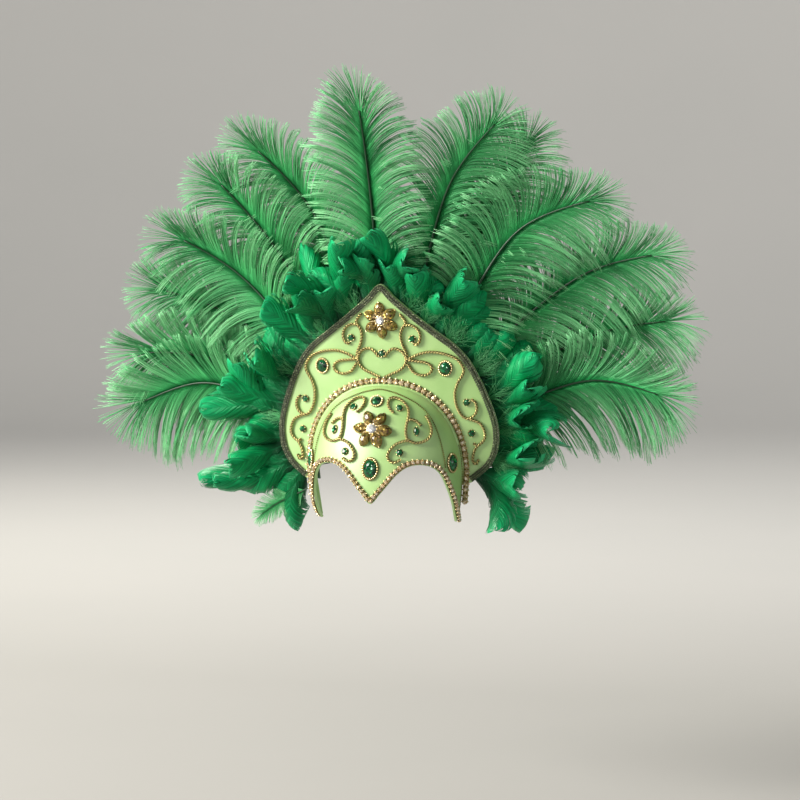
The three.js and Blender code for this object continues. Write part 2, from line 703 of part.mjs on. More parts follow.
function addGems(skin, place, rows) {
  for (const row of rows) {
    const [a, b] = place(row.at);
    if (row.pair) {
      add(`${row.name}_left`, gem(skin, [-a, b], row), 'emerald');
      add(`${row.name}_right`, gem(skin, [a, b], row), 'emerald');
    } else {
      add(row.name, gem(skin, [a, b], row), 'emerald');
    }
  }
}

const archTrimCurve = new SkinCurve(plateSkin, archLine(TRIM_GAP + TRIM_WIDTH / 2, TRIM_FOOT), CLEARANCE);
const braidCurve = new SkinCurve(
  plateSkin,
  Array.from({ length: 49 }, (_, i) => {
    const along = BRAID_END + (1 - 2 * BRAID_END) * i / 48;
    const spot = PLATE_LINE.getPointAt(along);
    const normal = PLATE_LINE.getTangentAt(along).rotateAround(new THREE.Vector2(), -Math.PI / 2);
    return [spot.x + normal.x * BRAID_WIDTH / 2, spot.y + normal.y * BRAID_WIDTH / 2];
  }),
  CLEARANCE,
);
const hemTrimCurve = new SkinCurve(capSkin, aboveHem(HEM_TRIM_WIDTH / 2 + CLEARANCE), TRIM_GAP);
const chainCurve = new SkinCurve(capSkin, mirrored(CAP_CHAIN.map(capSpot).reverse()), CHAIN_RADIUS + CLEARANCE);

add('crown_cap', crownCap(), 'satin');
add('back_plate', plateLayer([0, 0.5, 1], 0, PLATE_THICKNESS, 28), 'satin');
add('edge_braid', ribbon(braidCurve, BRAID_WIDTH, 0, BRAID_THICKNESS, 32), 'braid');
add('arch_trim', stoneBand(archTrimCurve, TRIM_WIDTH, TRIM_PITCH, 0.4), 'champagne');
add('hem_trim', stoneBand(hemTrimCurve, HEM_TRIM_WIDTH, HEM_TRIM_PITCH, 1), 'champagne');
add('cap_chain', tube(chainCurve, CHAIN_RADIUS, 5, 24), 'gold');
for (const [word, side] of [['left', -1], ['right', 1]]) {
  add(`plate_scroll_${word}`, scrolls(plateSkin, plateSpot, PLATE_SCROLLS, side), 'gold');
  add(`cap_scroll_${word}`, scrolls(capSkin, capSpot, CAP_SCROLLS, side), 'gold');
}
addGems(plateSkin, plateSpot, PLATE_GEMS);
addGems(capSkin, capSpot, CAP_GEMS);
add(PLATE_FLOWER.name, flower(plateSkin, plateSpot(PLATE_FLOWER.at), PLATE_FLOWER), 'amber');
add(CAP_FLOWER.name, flower(capSkin, capSpot(CAP_FLOWER.at), CAP_FLOWER), 'amber');
['ruff_front', 'ruff_middle', 'ruff_back'].forEach((name, layer) => add(name, ruffRing(layer), 'ruff'));
PLUMES.forEach((row, i) => add(`plume_${i + 1}`, plume(row), 'plume'));
add('back_board', plateLayer(BOARD_SHARES, BOARD_NEAR, BOARD_NEAR + BOARD_THICKNESS, 16), 'felt');
add('back_band', backBand(), 'elastic');

export default group;
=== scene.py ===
# %% [markdown]
# # Carnival feather headdress
# The headdress is a satin half cap with a tall plate behind it. A ruff of broad feathers and a fan of ostrich
# plumes grow from behind the plate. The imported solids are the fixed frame. Each piece made here follows the
# same sizes as its solid, so it stands where the solid stands, and the solid is then hidden.

# %% Load the frame
import math

import bmesh
import bpy
import numpy as np
from mathutils import Matrix, Vector


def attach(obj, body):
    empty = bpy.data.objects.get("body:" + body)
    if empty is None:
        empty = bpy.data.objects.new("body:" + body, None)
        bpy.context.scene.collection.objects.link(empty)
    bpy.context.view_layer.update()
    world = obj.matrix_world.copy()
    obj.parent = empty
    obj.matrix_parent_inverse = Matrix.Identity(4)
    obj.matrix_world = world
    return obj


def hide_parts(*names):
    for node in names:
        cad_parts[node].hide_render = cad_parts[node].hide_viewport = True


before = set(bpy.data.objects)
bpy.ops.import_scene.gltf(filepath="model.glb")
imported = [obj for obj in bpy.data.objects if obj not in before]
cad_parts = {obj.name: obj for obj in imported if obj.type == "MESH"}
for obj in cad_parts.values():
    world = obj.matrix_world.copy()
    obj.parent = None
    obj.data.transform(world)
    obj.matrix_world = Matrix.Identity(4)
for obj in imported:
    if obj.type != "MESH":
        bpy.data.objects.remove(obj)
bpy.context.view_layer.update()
scene = bpy.context.scene
rng = np.random.default_rng(11)

# %% [markdown]
# ## Camera
# The camera stands to the right of the middle and a little above it, with a long lens, as a portrait
# photographer would. The numbers come from how the mirrored stones of the plate line up.

# %% Camera
CAMERA_TURN = math.radians(16)
CAMERA_RISE = math.radians(5)
CAMERA_DISTANCE = 3.6
CAMERA_TARGET = Vector((0.016, -0.045, 0.0964))
direction = Vector((
    math.sin(CAMERA_TURN) * math.cos(CAMERA_RISE),
    -math.cos(CAMERA_TURN) * math.cos(CAMERA_RISE),
    math.sin(CAMERA_RISE),
))
lens = bpy.data.cameras.new("portrait_lens")
lens.lens = 162
lens.sensor_width = 36
camera = bpy.data.objects.new("camera", lens)
camera.location = CAMERA_TARGET + direction * CAMERA_DISTANCE
camera.rotation_euler = direction.to_track_quat("Z", "Y").to_euler()
scene.collection.objects.link(camera)
scene.camera = camera
print("camera at", [round(c, 3) for c in camera.location])

# %% [markdown]
# ## Sizes
# These are the solids' own sizes, in metres. Two skins carry everything: the plate's front, which is bowed
# and leans forward, and the cap's outside. A place on a skin is two numbers, and a small frame of axes there
# tells which way is right, up and out.

# %% Sizes shared with the solids
MM = 0.001
CLEARANCE = 0.3 * MM
CAP_HALF_WIDTH, CAP_TOP, CAP_DEPTH, CAP_WALL = 78 * MM, 112 * MM, 57 * MM, 2.5 * MM
CAP_WAIST, CAP_TAPER, CAP_ROUNDNESS = 25 * MM, 7 * MM, 2.2
CAP_FALL_START, CAP_FALL_END = 1.7, 0.6
HEM_LOW, HEM_HIGH = -26 * MM, 35.5 * MM
PLATE_MARGIN, PLATE_RISE = 37 * MM, 101 * MM
PLATE_HALF_WIDTH = CAP_HALF_WIDTH + PLATE_MARGIN
PLATE_FOOT, PLATE_THICKNESS, PLATE_PLACE = 12 * MM, 3 * MM, -46 * MM
PLATE_LEAN, PLATE_BOW_RADIUS = math.radians(6), 420 * MM
ARCH_SIDE_SHARE, ARCH_TOP_SHARE = 67.8, 49.75
FAN_HEIGHT = 64 * MM
CURL_START, CURL_SPAN, CURL_FORWARD = 181 * MM, 148 * MM, 45 * MM

PLATE_EDGE = [
    (0, 100), (14, 93), (33, 84), (50, 76.5), (65, 70), (76.5, 62.5), (85, 53.5), (92, 44), (98, 33.5),
    (100, 25), (98, 16.5), (92, 9.5), (84, 5), (75, 1),
]
HEM_EDGE = [
    (0, 37), (8, 53), (14.5, 68), (22, 85), (31, 97), (42, 100), (54, 95), (63, 82), (71, 60), (80, 37),
    (90, 14), (100, 0),
]


def unit(vectors):
    """Vectors of length 1"""
    return vectors / np.linalg.norm(vectors, axis=-1, keepdims=True)


def plate_depth(across, up):
    """Place of the plate's front in depth; past the plate's sides it runs on straight"""
    inner = np.minimum(np.abs(across), PLATE_HALF_WIDTH)
    outer = np.abs(across) - inner
    bow = (inner**2 / 2 + outer * inner) / PLATE_BOW_RADIUS
    return PLATE_PLACE - math.tan(PLATE_LEAN) * (up - FAN_HEIGHT) + bow


def plate_skin(across, up):
    return np.array([across, plate_depth(across, up), up])


def cap_half_width(up, offset=0.0):
    wide = CAP_HALF_WIDTH + offset
    if up < CAP_WAIST:
        return wide - CAP_TAPER * ((CAP_WAIST - up) / (CAP_WAIST - HEM_LOW)) ** 2
    rise = min(1.0, (up - CAP_WAIST) / (CAP_TOP + offset - CAP_WAIST))
    return wide * (1 - rise**CAP_ROUNDNESS) ** (1 / CAP_ROUNDNESS)


def cap_skin(turn, up, offset=0.0):
    """Point of the cap; turn is in degrees from the middle of the brow"""
    angle = math.radians(turn)
    across = cap_half_width(up, offset) * math.sin(angle)
    rise = min(1.0, max(0.0, up / (CAP_TOP + offset)))
    deep = (CAP_DEPTH + offset) * (1 - rise**CAP_FALL_START) ** CAP_FALL_END
    return np.array([across, plate_depth(across, up) - CLEARANCE - deep * math.cos(angle), up])


def plate_spot(across, up):
    """Coordinates on the plate from hundredths, as the solids have them"""
    inner = min(across, ARCH_SIDE_SHARE) / ARCH_SIDE_SHARE
    outer = max(0, across - ARCH_SIDE_SHARE) / (100 - ARCH_SIDE_SHARE)
    low = min(up, ARCH_TOP_SHARE) / ARCH_TOP_SHARE
    high = max(0, up - ARCH_TOP_SHARE) / (100 - ARCH_TOP_SHARE)
    return (
        inner * CAP_HALF_WIDTH + outer * PLATE_MARGIN,
        PLATE_FOOT + low * (CAP_TOP - PLATE_FOOT) + high * PLATE_RISE,
    )


def cap_spot(turn, up):
    return turn / 100 * 90, up / 100 * CAP_TOP


def hem_spot(turn, up):
    return turn / 100 * 90, HEM_LOW + up / 100 * (HEM_HIGH - HEM_LOW)


class Line:
    """Smooth line through points, which gives evenly spaced points back"""

    def __init__(self, points, steps=24):
        rows = np.array(points, float)
        padded = np.vstack([rows[:1], rows, rows[-1:]])
        dense = []
        for k in range(len(rows) - 1):
            a, b, c, d = padded[k:k + 4]
            for t in np.arange(steps) / steps:
                dense.append(0.5 * (
                    2 * b + (c - a) * t + (2 * a - 5 * b + 4 * c - d) * t**2 + (3 * b - a - 3 * c + d) * t**3
                ))
        self.dense = np.array(dense + [rows[-1]])
        steps_long = np.linalg.norm(np.diff(self.dense, axis=0), axis=1)
        self.run = np.concatenate([[0.0], np.cumsum(steps_long)])
        self.length = self.run[-1]

    def at(self, share):
        where = np.asarray(share) * self.length
        return np.stack([np.interp(where, self.run, column) for column in self.dense.T], axis=-1)

    def tangent(self, share):
        return unit(self.at(np.minimum(share + 0.004, 1)) - self.at(np.maximum(share - 0.004, 0)))


def mirrored(right):
    """The whole line from its right half, which starts in the middle"""
    return [(-a, b) for a, b in reversed(right[1:])] + list(right)


def arch_line(offset, foot):
    half = []
    for angle in np.linspace(0, math.pi / 2, 13):
        across = (CAP_HALF_WIDTH + offset) * math.sin(angle) ** (2 / CAP_ROUNDNESS)
        rise = (CAP_TOP + offset - CAP_WAIST) * max(0.0, math.cos(angle)) ** (2 / CAP_ROUNDNESS)
        half.append((across, CAP_WAIST + rise))
    half.append((cap_half_width(foot, offset), foot))
    return mirrored(half)


PLATE_LINE = Line(mirrored([plate_spot(*row) for row in PLATE_EDGE]))
ARCH_LINE = Line(arch_line(-CAP_WALL, PLATE_FOOT))
HEM_LINE = Line(mirrored([hem_spot(*row) for row in HEM_EDGE]))


def plate_span(along, share):
    """Point of the plate between its arch (share 0) and its edge (share 1)"""
    return ARCH_LINE.at(along) * (1 - share) + PLATE_LINE.at(along) * share


def fan_points(spots, depths):
    """Points of the feather fan at depths behind the plate's front; far feathers curl forward"""
    across, up = spots[..., 0], spots[..., 1]
    past = np.maximum(0, np.hypot(across, up - FAN_HEIGHT) - CURL_START) / CURL_SPAN
    return np.stack([across, plate_depth(across, up) + depths - CURL_FORWARD * past**2, up], axis=-1)


def skin_frame(skin, a, b):
    """Axes on a skin, and how far a unit of each coordinate reaches"""
    step = 1e-5
    right = (skin(a + step, b) - skin(a - step, b)) / (2 * step)
    rise = (skin(a, b + step) - skin(a, b - step)) / (2 * step)
    out = unit(np.cross(right, rise))
    side = unit(right)
    return {
        "at": skin(a, b), "right": side, "up": np.cross(out, side), "out": out,
        "right_scale": np.linalg.norm(right), "up_scale": np.linalg.norm(rise),
    }


print("plate edge", round(PLATE_LINE.length, 3), "m, arch", round(ARCH_LINE.length, 3), "m")

# %% [markdown]
# ## Helpers for shader nodes
# A material is a small network. One helper places a node and fills its sockets, either with a number or with
# a link from another node. Effects that several finishes share are node groups, which are built once.

# %% Node helpers


def tint(code):
    """Colour as shaders want it, from the hexadecimal code that paint charts use"""
    parts = [int(code[i:i + 2], 16) / 255 for i in (0, 2, 4)]
    return tuple(p / 12.92 if p <= 0.04045 else ((p + 0.055) / 1.055) ** 2.4 for p in parts) + (1.0,)


def place(tree, kind, inputs=None, **settings):
    """A node with its settings and its sockets filled"""
    made = tree.nodes.new(kind)
    for name, value in settings.items():
        setattr(made, name, value)
    for name, value in (inputs or {}).items():
        if isinstance(value, bpy.types.NodeSocket):
            tree.links.new(value, made.inputs[name])
        else:
            made.inputs[name].default_value = value
    return made


def math_node(tree, operation, *values):
    return place(tree, "ShaderNodeMath", dict(enumerate(values)), operation=operation).outputs[0]


def mixed(tree, share, first, second):
    """Colour between two colours"""
    node = place(tree, "ShaderNodeMix", {0: share, 6: first, 7: second}, data_type="RGBA")
    return node.outputs[2]


def vector_node(tree, operation, *values):
    return place(tree, "ShaderNodeVectorMath", dict(enumerate(values)), operation=operation).outputs[0]


def ranged(tree, value, low=0.0, high=1.0, start=0.0, end=1.0):
    """Value between a start and an end brought between two others"""
    inputs = {"Value": value, "From Min": start, "From Max": end, "To Min": low, "To Max": high}
    return place(tree, "ShaderNodeMapRange", inputs).outputs["Result"]


def object_place(tree):
    return place(tree, "ShaderNodeTexCoord").outputs["Object"]


def noise(tree, scale, detail=3.0, vector=None):
    inputs = {"Scale": scale, "Detail": detail, "Vector": vector or object_place(tree)}
    return place(tree, "ShaderNodeTexNoise", inputs).outputs["Fac"]


def cell_colors(tree, scale):
    """A random colour for each small cell"""
    inputs = {"Scale": scale, "Vector": object_place(tree)}
    return place(tree, "ShaderNodeTexVoronoi", inputs).outputs["Color"]


def own_value(tree, name):
    """A value that the piece's mesh holds at each point"""
    return place(tree, "ShaderNodeAttribute", attribute_name=name).outputs["Fac"]


def new_group(name, inputs, outputs):
    """Node group with named sockets"""
    tree = bpy.data.node_groups.new(name, "ShaderNodeTree")
    for socket, value in inputs.items():
        made = tree.interface.new_socket(socket, in_out="INPUT", socket_type="NodeSocketFloat")
        made.default_value = value
    for socket in outputs:
        kind = "NodeSocketVector" if socket == "Normal" else "NodeSocketFloat"
        tree.interface.new_socket(socket, in_out="OUTPUT", socket_type=kind)
    return tree, place(tree, "NodeGroupInput"), place(tree, "NodeGroupOutput")


def use(tree, group, **inputs):
    """A group placed in a material with its own values"""
    node = place(tree, "ShaderNodeGroup", node_tree=group)
    for name, value in inputs.items():
        if isinstance(value, bpy.types.NodeSocket):
            tree.links.new(value, node.inputs[name])
        else:
            node.inputs[name].default_value = value
    return node.outputs


def new_material(name, **settings):
    """Material with one Principled shader and its constants"""
    made = bpy.data.materials.new(name)
    made.use_nodes = True
    shader = made.node_tree.nodes["Principled BSDF"]
    for socket, value in settings.items():
        shader.inputs[socket.replace("_", " ")].default_value = value
    return made, made.node_tree, shader


def feed(
    tree, shader, color=None, roughness=None, metallic=None, alpha=None, height=None, bump=0.3,
    distance=0.3 * MM,
):
    """Links what varies over the surface to the shader"""
    rows = (("Base Color", color), ("Roughness", roughness), ("Metallic", metallic), ("Alpha", alpha))
    for name, value in rows:
        if value is not None:
            tree.links.new(value, shader.inputs[name])
    if height is not None:
        node = place(tree, "ShaderNodeBump", {"Strength": bump, "Distance": distance, "Height": height})
        tree.links.new(node.outputs["Normal"], shader.inputs["Normal"])


# Patches of slow variation with finer spots in them
blotches, into, out = new_group("blotches", {"Scale": 20.0, "Low": 0.0, "High": 1.0}, ["Value"])
broad = noise(blotches, into.outputs["Scale"], 4.0)
spread = ranged(blotches, broad, into.outputs["Low"], into.outputs["High"], 0.3, 0.7)
blotches.links.new(spread, out.inputs["Value"])

# Crossed threads at a number to the metre
weave, into, out = new_group("weave", {"Threads": 3000.0}, ["Height"])
spot = place(weave, "ShaderNodeSeparateXYZ", {"Vector": object_place(weave)})
warp, weft = (
    math_node(weave, "SINE", math_node(weave, "MULTIPLY", spot.outputs[axis], into.outputs["Threads"]))
    for axis in "XZ"
)
weave.links.new(math_node(weave, "MULTIPLY", warp, weft), out.inputs["Height"])

# Facets that catch the light differently, at a number to the metre
glitter, into, out = new_group("glitter", {"Scale": 300.0, "Low": 0.0, "High": 1.0}, ["Value"])
cells = cell_colors(glitter, into.outputs["Scale"])
tone = place(glitter, "ShaderNodeSeparateColor", {"Color": cells}).outputs["Red"]
spread = ranged(glitter, tone, into.outputs["Low"], into.outputs["High"])
glitter.links.new(spread, out.inputs["Value"])

# The same facets tilted at random, as the faces of a cut stone are
facets, into, out = new_group("facets", {"Scale": 500.0, "Tilt": 0.4}, ["Normal"])
centred = vector_node(facets, "SUBTRACT", cell_colors(facets, into.outputs["Scale"]), (0.5, 0.5, 0.5))
tilted = vector_node(facets, "MULTIPLY", centred, into.outputs["Tilt"])
face_normal = place(facets, "ShaderNodeNewGeometry").outputs["Normal"]
leaning = vector_node(facets, "ADD", face_normal, tilted)
facets.links.new(vector_node(facets, "NORMALIZE", leaning), out.inputs["Normal"])

# Barbs that slant from a feather's shaft to its edge; the piece says where a point is along and across.
# Whole is 0 where the barbs part at the rim, so that the edge is frayed.
barbing, into, out = new_group("barbing", {"Barbs": 60.0, "Slant": 14.0}, ["Line", "Shaft", "Whole"])
along, across = own_value(barbing, "along"), own_value(barbing, "across")
aside = math_node(barbing, "ABSOLUTE", across)
drawn = math_node(barbing, "MULTIPLY", along, into.outputs["Barbs"])
slanted = math_node(barbing, "SUBTRACT", drawn, math_node(barbing, "MULTIPLY", aside, into.outputs["Slant"]))
apart = math_node(barbing, "MULTIPLY", own_value(barbing, "shade"), 90.0)
spread = place(barbing, "ShaderNodeCombineXYZ", {"X": slanted, "Y": across, "Z": apart})
streak = noise(barbing, 0.55, 3.0, spread.outputs["Vector"])
sharp = ranged(barbing, streak, start=0.36, end=0.64)
side_rim, tip_rim = math_node(barbing, "POWER", aside, 1.3), math_node(barbing, "POWER", along, 8.0)
parted = math_node(barbing, "MULTIPLY", sharp, math_node(barbing, "MAXIMUM", side_rim, tip_rim))
barbing.links.new(sharp, out.inputs["Line"])
barbing.links.new(math_node(barbing, "LESS_THAN", parted, 0.5), out.inputs["Whole"])
barbing.links.new(ranged(barbing, aside, 1.0, 0.0, 0.02, 0.07), out.inputs["Shaft"])
print("node groups:", sorted(g.name for g in bpy.data.node_groups))

# %% [markdown]
# ## Finishes
# Satin is smooth and shines in broad patches, with a thread too fine to see from afar. The metal thread of
# the braid is dull and dark, the cord and the cups are brighter. The stones are acrylic with foil behind
# them: they throw back coloured light from each facet, so a metallic shader with a varying tone suits them
# better than clear glass. Feathers are dull, with a soft sheen at their edges.

# %% Satin, felt and elastic
satin, tree, shader = new_material(
    "lime_satin", Sheen_Weight=0.3, Sheen_Roughness=0.3, Specular_IOR_Level=1.0,
    Coat_Weight=0.8, Coat_Roughness=0.52, Coat_IOR=1.7,
)
patch = use(tree, blotches, Scale=22.0)["Value"]
thread = use(tree, weave, Threads=5200.0)["Height"]
crease = noise(tree, 38.0, 2.0)
feed(
    tree, shader,
    color=mixed(tree, patch, tint("95c06c"), tint("a7cd7e")),
    roughness=ranged(tree, patch, 0.4, 0.48),
    height=math_node(tree, "MULTIPLY_ADD", thread, 0.06, crease), bump=0.35, distance=1.6 * MM,
)

felt, tree, shader = new_material("green_felt", Sheen_Weight=0.4, Sheen_Roughness=0.6)
fuzz = noise(tree, 900.0, 6.0)
patch = use(tree, blotches, Scale=60.0)["Value"]
feed(
    tree, shader,
    color=mixed(tree, math_node(tree, "MULTIPLY", patch, fuzz), tint("14432a"), tint("2a6b45")),
    roughness=ranged(tree, fuzz, 0.85, 1.0), height=fuzz, bump=0.6, distance=0.6 * MM,
)

elastic, tree, shader = new_material("ribbed_elastic", Sheen_Weight=0.2)
upright = place(tree, "ShaderNodeSeparateXYZ", {"Vector": object_place(tree)}).outputs["Z"]
rib = math_node(tree, "SINE", math_node(tree, "MULTIPLY", upright, 3600.0))
thread = use(tree, weave, Threads=4200.0)["Height"]
grip = math_node(tree, "MULTIPLY_ADD", rib, 0.5, 0.5)
feed(
    tree, shader, color=mixed(tree, grip, tint("141d17"), tint("34453a")),
    roughness=ranged(tree, grip, 0.9, 0.65), height=math_node(tree, "ADD", grip, thread), bump=0.5,
)
print("fabrics:", satin.name, felt.name, elastic.name)

# %% Metal thread, cups and stones


def metal(name, dark, light, rough, shine, grain, hollow_shade=False):
    """Metal whose worn patches are lighter; where hollow_shade is set, painted shade darkens the hollows
    between the plies
    """
    made, tree, shader = new_material(name, Specular_IOR_Level=0.5)
    patch = use(tree, blotches, Scale=grain)["Value"]
    spark = use(tree, glitter, Scale=grain * 6)["Value"]
    share = math_node(tree, "MULTIPLY_ADD", spark, 0.45, math_node(tree, "MULTIPLY", patch, 0.55))
    if hollow_shade:
        # Painted shade: the mesh's shade values darken the colour in the hollows between the plies
        lifted = math_node(tree, "MULTIPLY_ADD", share, 0.5, 0.5)
        share = math_node(tree, "MULTIPLY", lifted, own_value(tree, "shade"))
    feed(
        tree, shader, color=mixed(tree, share, tint(dark), tint(light)),
        metallic=ranged(tree, patch, shine, 1.0), roughness=ranged(tree, patch, rough + 0.12, rough),
        height=spark, bump=0.2, distance=0.2 * MM,
    )
    return made


def stone(name, dark, light, foil, fine, tilt):
    """Cut stone with foil behind it; fine is the number of its facets to the metre"""
    made, tree, shader = new_material(name, Coat_Roughness=0.04, Coat_IOR=1.5, IOR=1.5, Coat_Weight=0.7)
    spark = use(tree, glitter, Scale=fine)["Value"]
    glow = use(tree, blotches, Scale=fine * 0.7)["Value"]
    share = math_node(tree, "MULTIPLY", spark, math_node(tree, "MULTIPLY_ADD", glow, 0.6, 0.4))
    feed(
        tree, shader, color=mixed(tree, share, tint(dark), tint(light)),
        metallic=ranged(tree, spark, foil - 0.15, foil), roughness=ranged(tree, spark, 0.05, 0.14),
    )
    tree.links.new(use(tree, facets, Scale=fine, Tilt=tilt)["Normal"], shader.inputs["Normal"])
    return made


braid_thread, tree, shader = new_material("dark_braid_thread", Specular_IOR_Level=0.6)
spark = use(tree, glitter, Scale=720.0, Low=-2.0, High=1.0)["Value"]
# Painted glints on random facets, darkened by painted shade in the hollows between the plies
lit = math_node(tree, "MULTIPLY", math_node(tree, "MAXIMUM", spark, 0.12), own_value(tree, "shade"))
feed(
    tree, shader, color=mixed(tree, lit, tint("1b2314"), tint("ccd2ab")),
    metallic=ranged(tree, spark, 0.2, 0.7), roughness=ranged(tree, spark, 0.5, 0.3),
    height=spark, bump=0.4, distance=0.4 * MM,
)
gold_thread = metal("gold_cord_thread", "231c08", "ead790", 0.3, 0.7, 260.0, True)
old_gold = metal("old_gold", "3b3212", "9d8a4c", 0.32, 0.8, 240.0)
cup_gold = metal("cup_gold", "b89a58", "fff0c4", 0.24, 0.7, 240.0)
champagne = stone("champagne_stone", "b89258", "fffaea", 0.4, 560.0, 1.1)
emerald = stone("emerald_stone", "00140a", "0b9a56", 0.5, 480.0, 1.1)
amber = stone("amber_stone", "432403", "ffdf7c", 0.76, 440.0, 1.6)
crystal = stone("white_crystal", "a9acb4", "ffffff", 0.35, 420.0, 1.0)
print("metals:", [m.name for m in (braid_thread, gold_thread, old_gold, cup_gold)])
print("stones:", [m.name for m in (champagne, emerald, amber, crystal)])

# %% Feathers
ruff_feather, tree, shader = new_material(
    "curled_feather", Sheen_Weight=0.12, Sheen_Roughness=0.3, Sheen_Tint=tint("7dffb8"),
    Specular_IOR_Level=0.35, Specular_Tint=tint("9dffc9"),
)
lines = use(tree, barbing, Barbs=52.0, Slant=18.0)
along = own_value(tree, "along")
shade = own_value(tree, "shade")
body = mixed(tree, shade, tint("00612f"), tint("009a54"))
tipped = mixed(tree, math_node(tree, "POWER", along, 4.0), body, tint("1fba76"))
# Painted highlight: the thin edges of each feather turn pale mint, as where light shines through them
rim = math_node(tree, "POWER", math_node(tree, "ABSOLUTE", own_value(tree, "across")), 7.0)
rim_highlighted = mixed(tree, math_node(tree, "MULTIPLY", rim, 0.55), tipped, tint("5fe0a4"))
ribbed = mixed(tree, math_node(tree, "MULTIPLY", lines["Line"], 0.55), rim_highlighted, tint("003317"))
# Painted shade: the feathers darken towards their roots, where they overlap each other
painted_root_shade = ranged(tree, along, start=0.2, end=0.62)
deep = mixed(tree, painted_root_shade, tint("001f0d"), ribbed)
feed(
    tree, shader, color=mixed(tree, math_node(tree, "MULTIPLY", lines["Shaft"], 0.4), deep, tint("0f7545")),
    roughness=ranged(tree, lines["Line"], 0.3, 0.46), alpha=lines["Whole"], height=lines["Line"], bump=0.6,
    distance=1.1 * MM,
)

barb_strand, tree, shader = new_material(
    "ostrich_barb", Sheen_Weight=0.12, Sheen_Roughness=0.4, Sheen_Tint=tint("a8ffc0"),
    Specular_IOR_Level=0.7, Specular_Tint=tint("b0ffc4"),
)
along = own_value(tree, "along")
shade = own_value(tree, "shade")
deep = mixed(tree, shade, tint("004d22"), tint("1f9c50"))
pale = mixed(tree, shade, tint("1f9850"), tint("aef2b8"))
fine = noise(tree, 700.0, 2.0)
feed(
    tree, shader, color=mixed(tree, math_node(tree, "POWER", along, 1.3), deep, pale),
    roughness=ranged(tree, fine, 0.32, 0.5), height=fine, bump=0.3, distance=0.2 * MM,
)

quill, tree, shader = new_material("dark_quill", Specular_IOR_Level=0.5)
fine = noise(tree, 300.0, 3.0)
feed(
    tree, shader, color=mixed(tree, fine, tint("0a2413"), tint("1f4a2a")),
    roughness=ranged(tree, fine, 0.35, 0.55), height=fine, bump=0.2, distance=0.2 * MM,
)
print("feathers:", ruff_feather.name, barb_strand.name, quill.name)

# %% [markdown]
# ## Helpers for meshes
# A sheet starts as a flat grid, is laid over a skin and then gets its wall. Many fine strands are one mesh:
# each is a thin tapered tube round its own line, and its points carry how far along they are.

# %% Mesh helpers


def piece(name, mesh, materials, stands_for=(), sharp=None):
    """Object of a finished mesh, which rides with the headdress"""
    mesh.name = name
    for made in materials:
        mesh.materials.append(made)
    mesh.shade_smooth()
    if sharp is not None:
        mesh.set_sharp_from_angle(angle=math.radians(sharp))
    made = bpy.data.objects.new(name, mesh)
    scene.collection.objects.link(made)
    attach(made, "root")
    if stands_for:
        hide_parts(*stands_for)
    return made


def mesh_of(bm):
    mesh = bpy.data.meshes.new("mesh")
    bm.to_mesh(mesh)
    bm.free()
    return mesh


def add_sheet(bm, skin, columns, rows, values=()):
    """Grid laid over a skin that takes two shares"""
    before = set(bm.verts)
    bmesh.ops.create_grid(bm, x_segments=columns, y_segments=rows, size=1.0)
    grid = [v for v in bm.verts if v not in before]
    for vert in grid:
        u, v = (vert.co.x + 1) / 2, (vert.co.y + 1) / 2
        for layer, value in values:
            vert[layer] = value(u, v)
        vert.co = Vector(skin(u, v))
    bmesh.ops.remove_doubles(bm, verts=grid, dist=1e-6)
    faces = [f for f in bm.faces if not any(v in before for v in f.verts)]
    bmesh.ops.recalc_face_normals(bm, faces=faces)
    return faces


def strands(points, radii, outs, sides=4, flat=1.0):
    """Vertices and faces of many tapered tubes: points is strand by station by three"""
    count, stations = points.shape[:2]
    run = unit(np.gradient(points, axis=1))
    side = unit(np.cross(outs, run))
    up = np.cross(run, side)
    turn = 2 * np.pi * (np.arange(sides) + 0.5) / sides
    rings = (
        points[:, :, None]
        + radii[..., None, None] * np.cos(turn)[:, None] * side[:, :, None]
        + radii[..., None, None] * flat * np.sin(turn)[:, None] * up[:, :, None]
    )
    index = np.arange(count * stations * sides).reshape(count, stations, sides)
    after = np.roll(index, -1, axis=2)
    walls = np.stack([index[:, :-1], after[:, :-1], after[:, 1:], index[:, 1:]], axis=-1).reshape(-1, 4)
    caps = np.concatenate([index[:, 0, ::-1], index[:, -1]])
    return rings.reshape(-1, 3), walls.tolist() + caps.tolist()


def strand_mesh(parts, values=None):
    """One mesh from several sets of strands; each set has its material's number"""
    verts, faces, numbers, base = [], [], [], 0
    for (points, sides), number in parts:
        verts.append(points)
        faces += [[i + base for i in face] for face in sides]
        numbers += [number] * len(sides)
        base += len(points)
    mesh = bpy.data.meshes.new("strands")
    mesh.from_pydata(np.concatenate(verts), [], faces)
    mesh.polygons.foreach_set("material_index", numbers)
    for name, numbers in (values or {}).items():
        mesh.attributes.new(name, "FLOAT", "POINT").data.foreach_set("value", numbers)
    mesh.validate()
    return mesh


def route_on(skin, spots, lift, step):
    """Evenly spaced points of a route over a skin, and which way is out at each"""
    frames = [skin_frame(skin, *spot) for spot in Line(spots).dense]
    points = np.array([f["at"] + lift * f["out"] for f in frames])
    outs = np.array([f["out"] for f in frames])
    run = np.concatenate([[0], np.cumsum(np.linalg.norm(np.diff(points, axis=0), axis=1))])
    where = np.linspace(0, run[-1], max(4, round(run[-1] / step) + 1))
    even = [np.stack([np.interp(where, run, column) for column in rows.T], axis=1) for rows in (points, outs)]
    return even[0], unit(even[1]), where


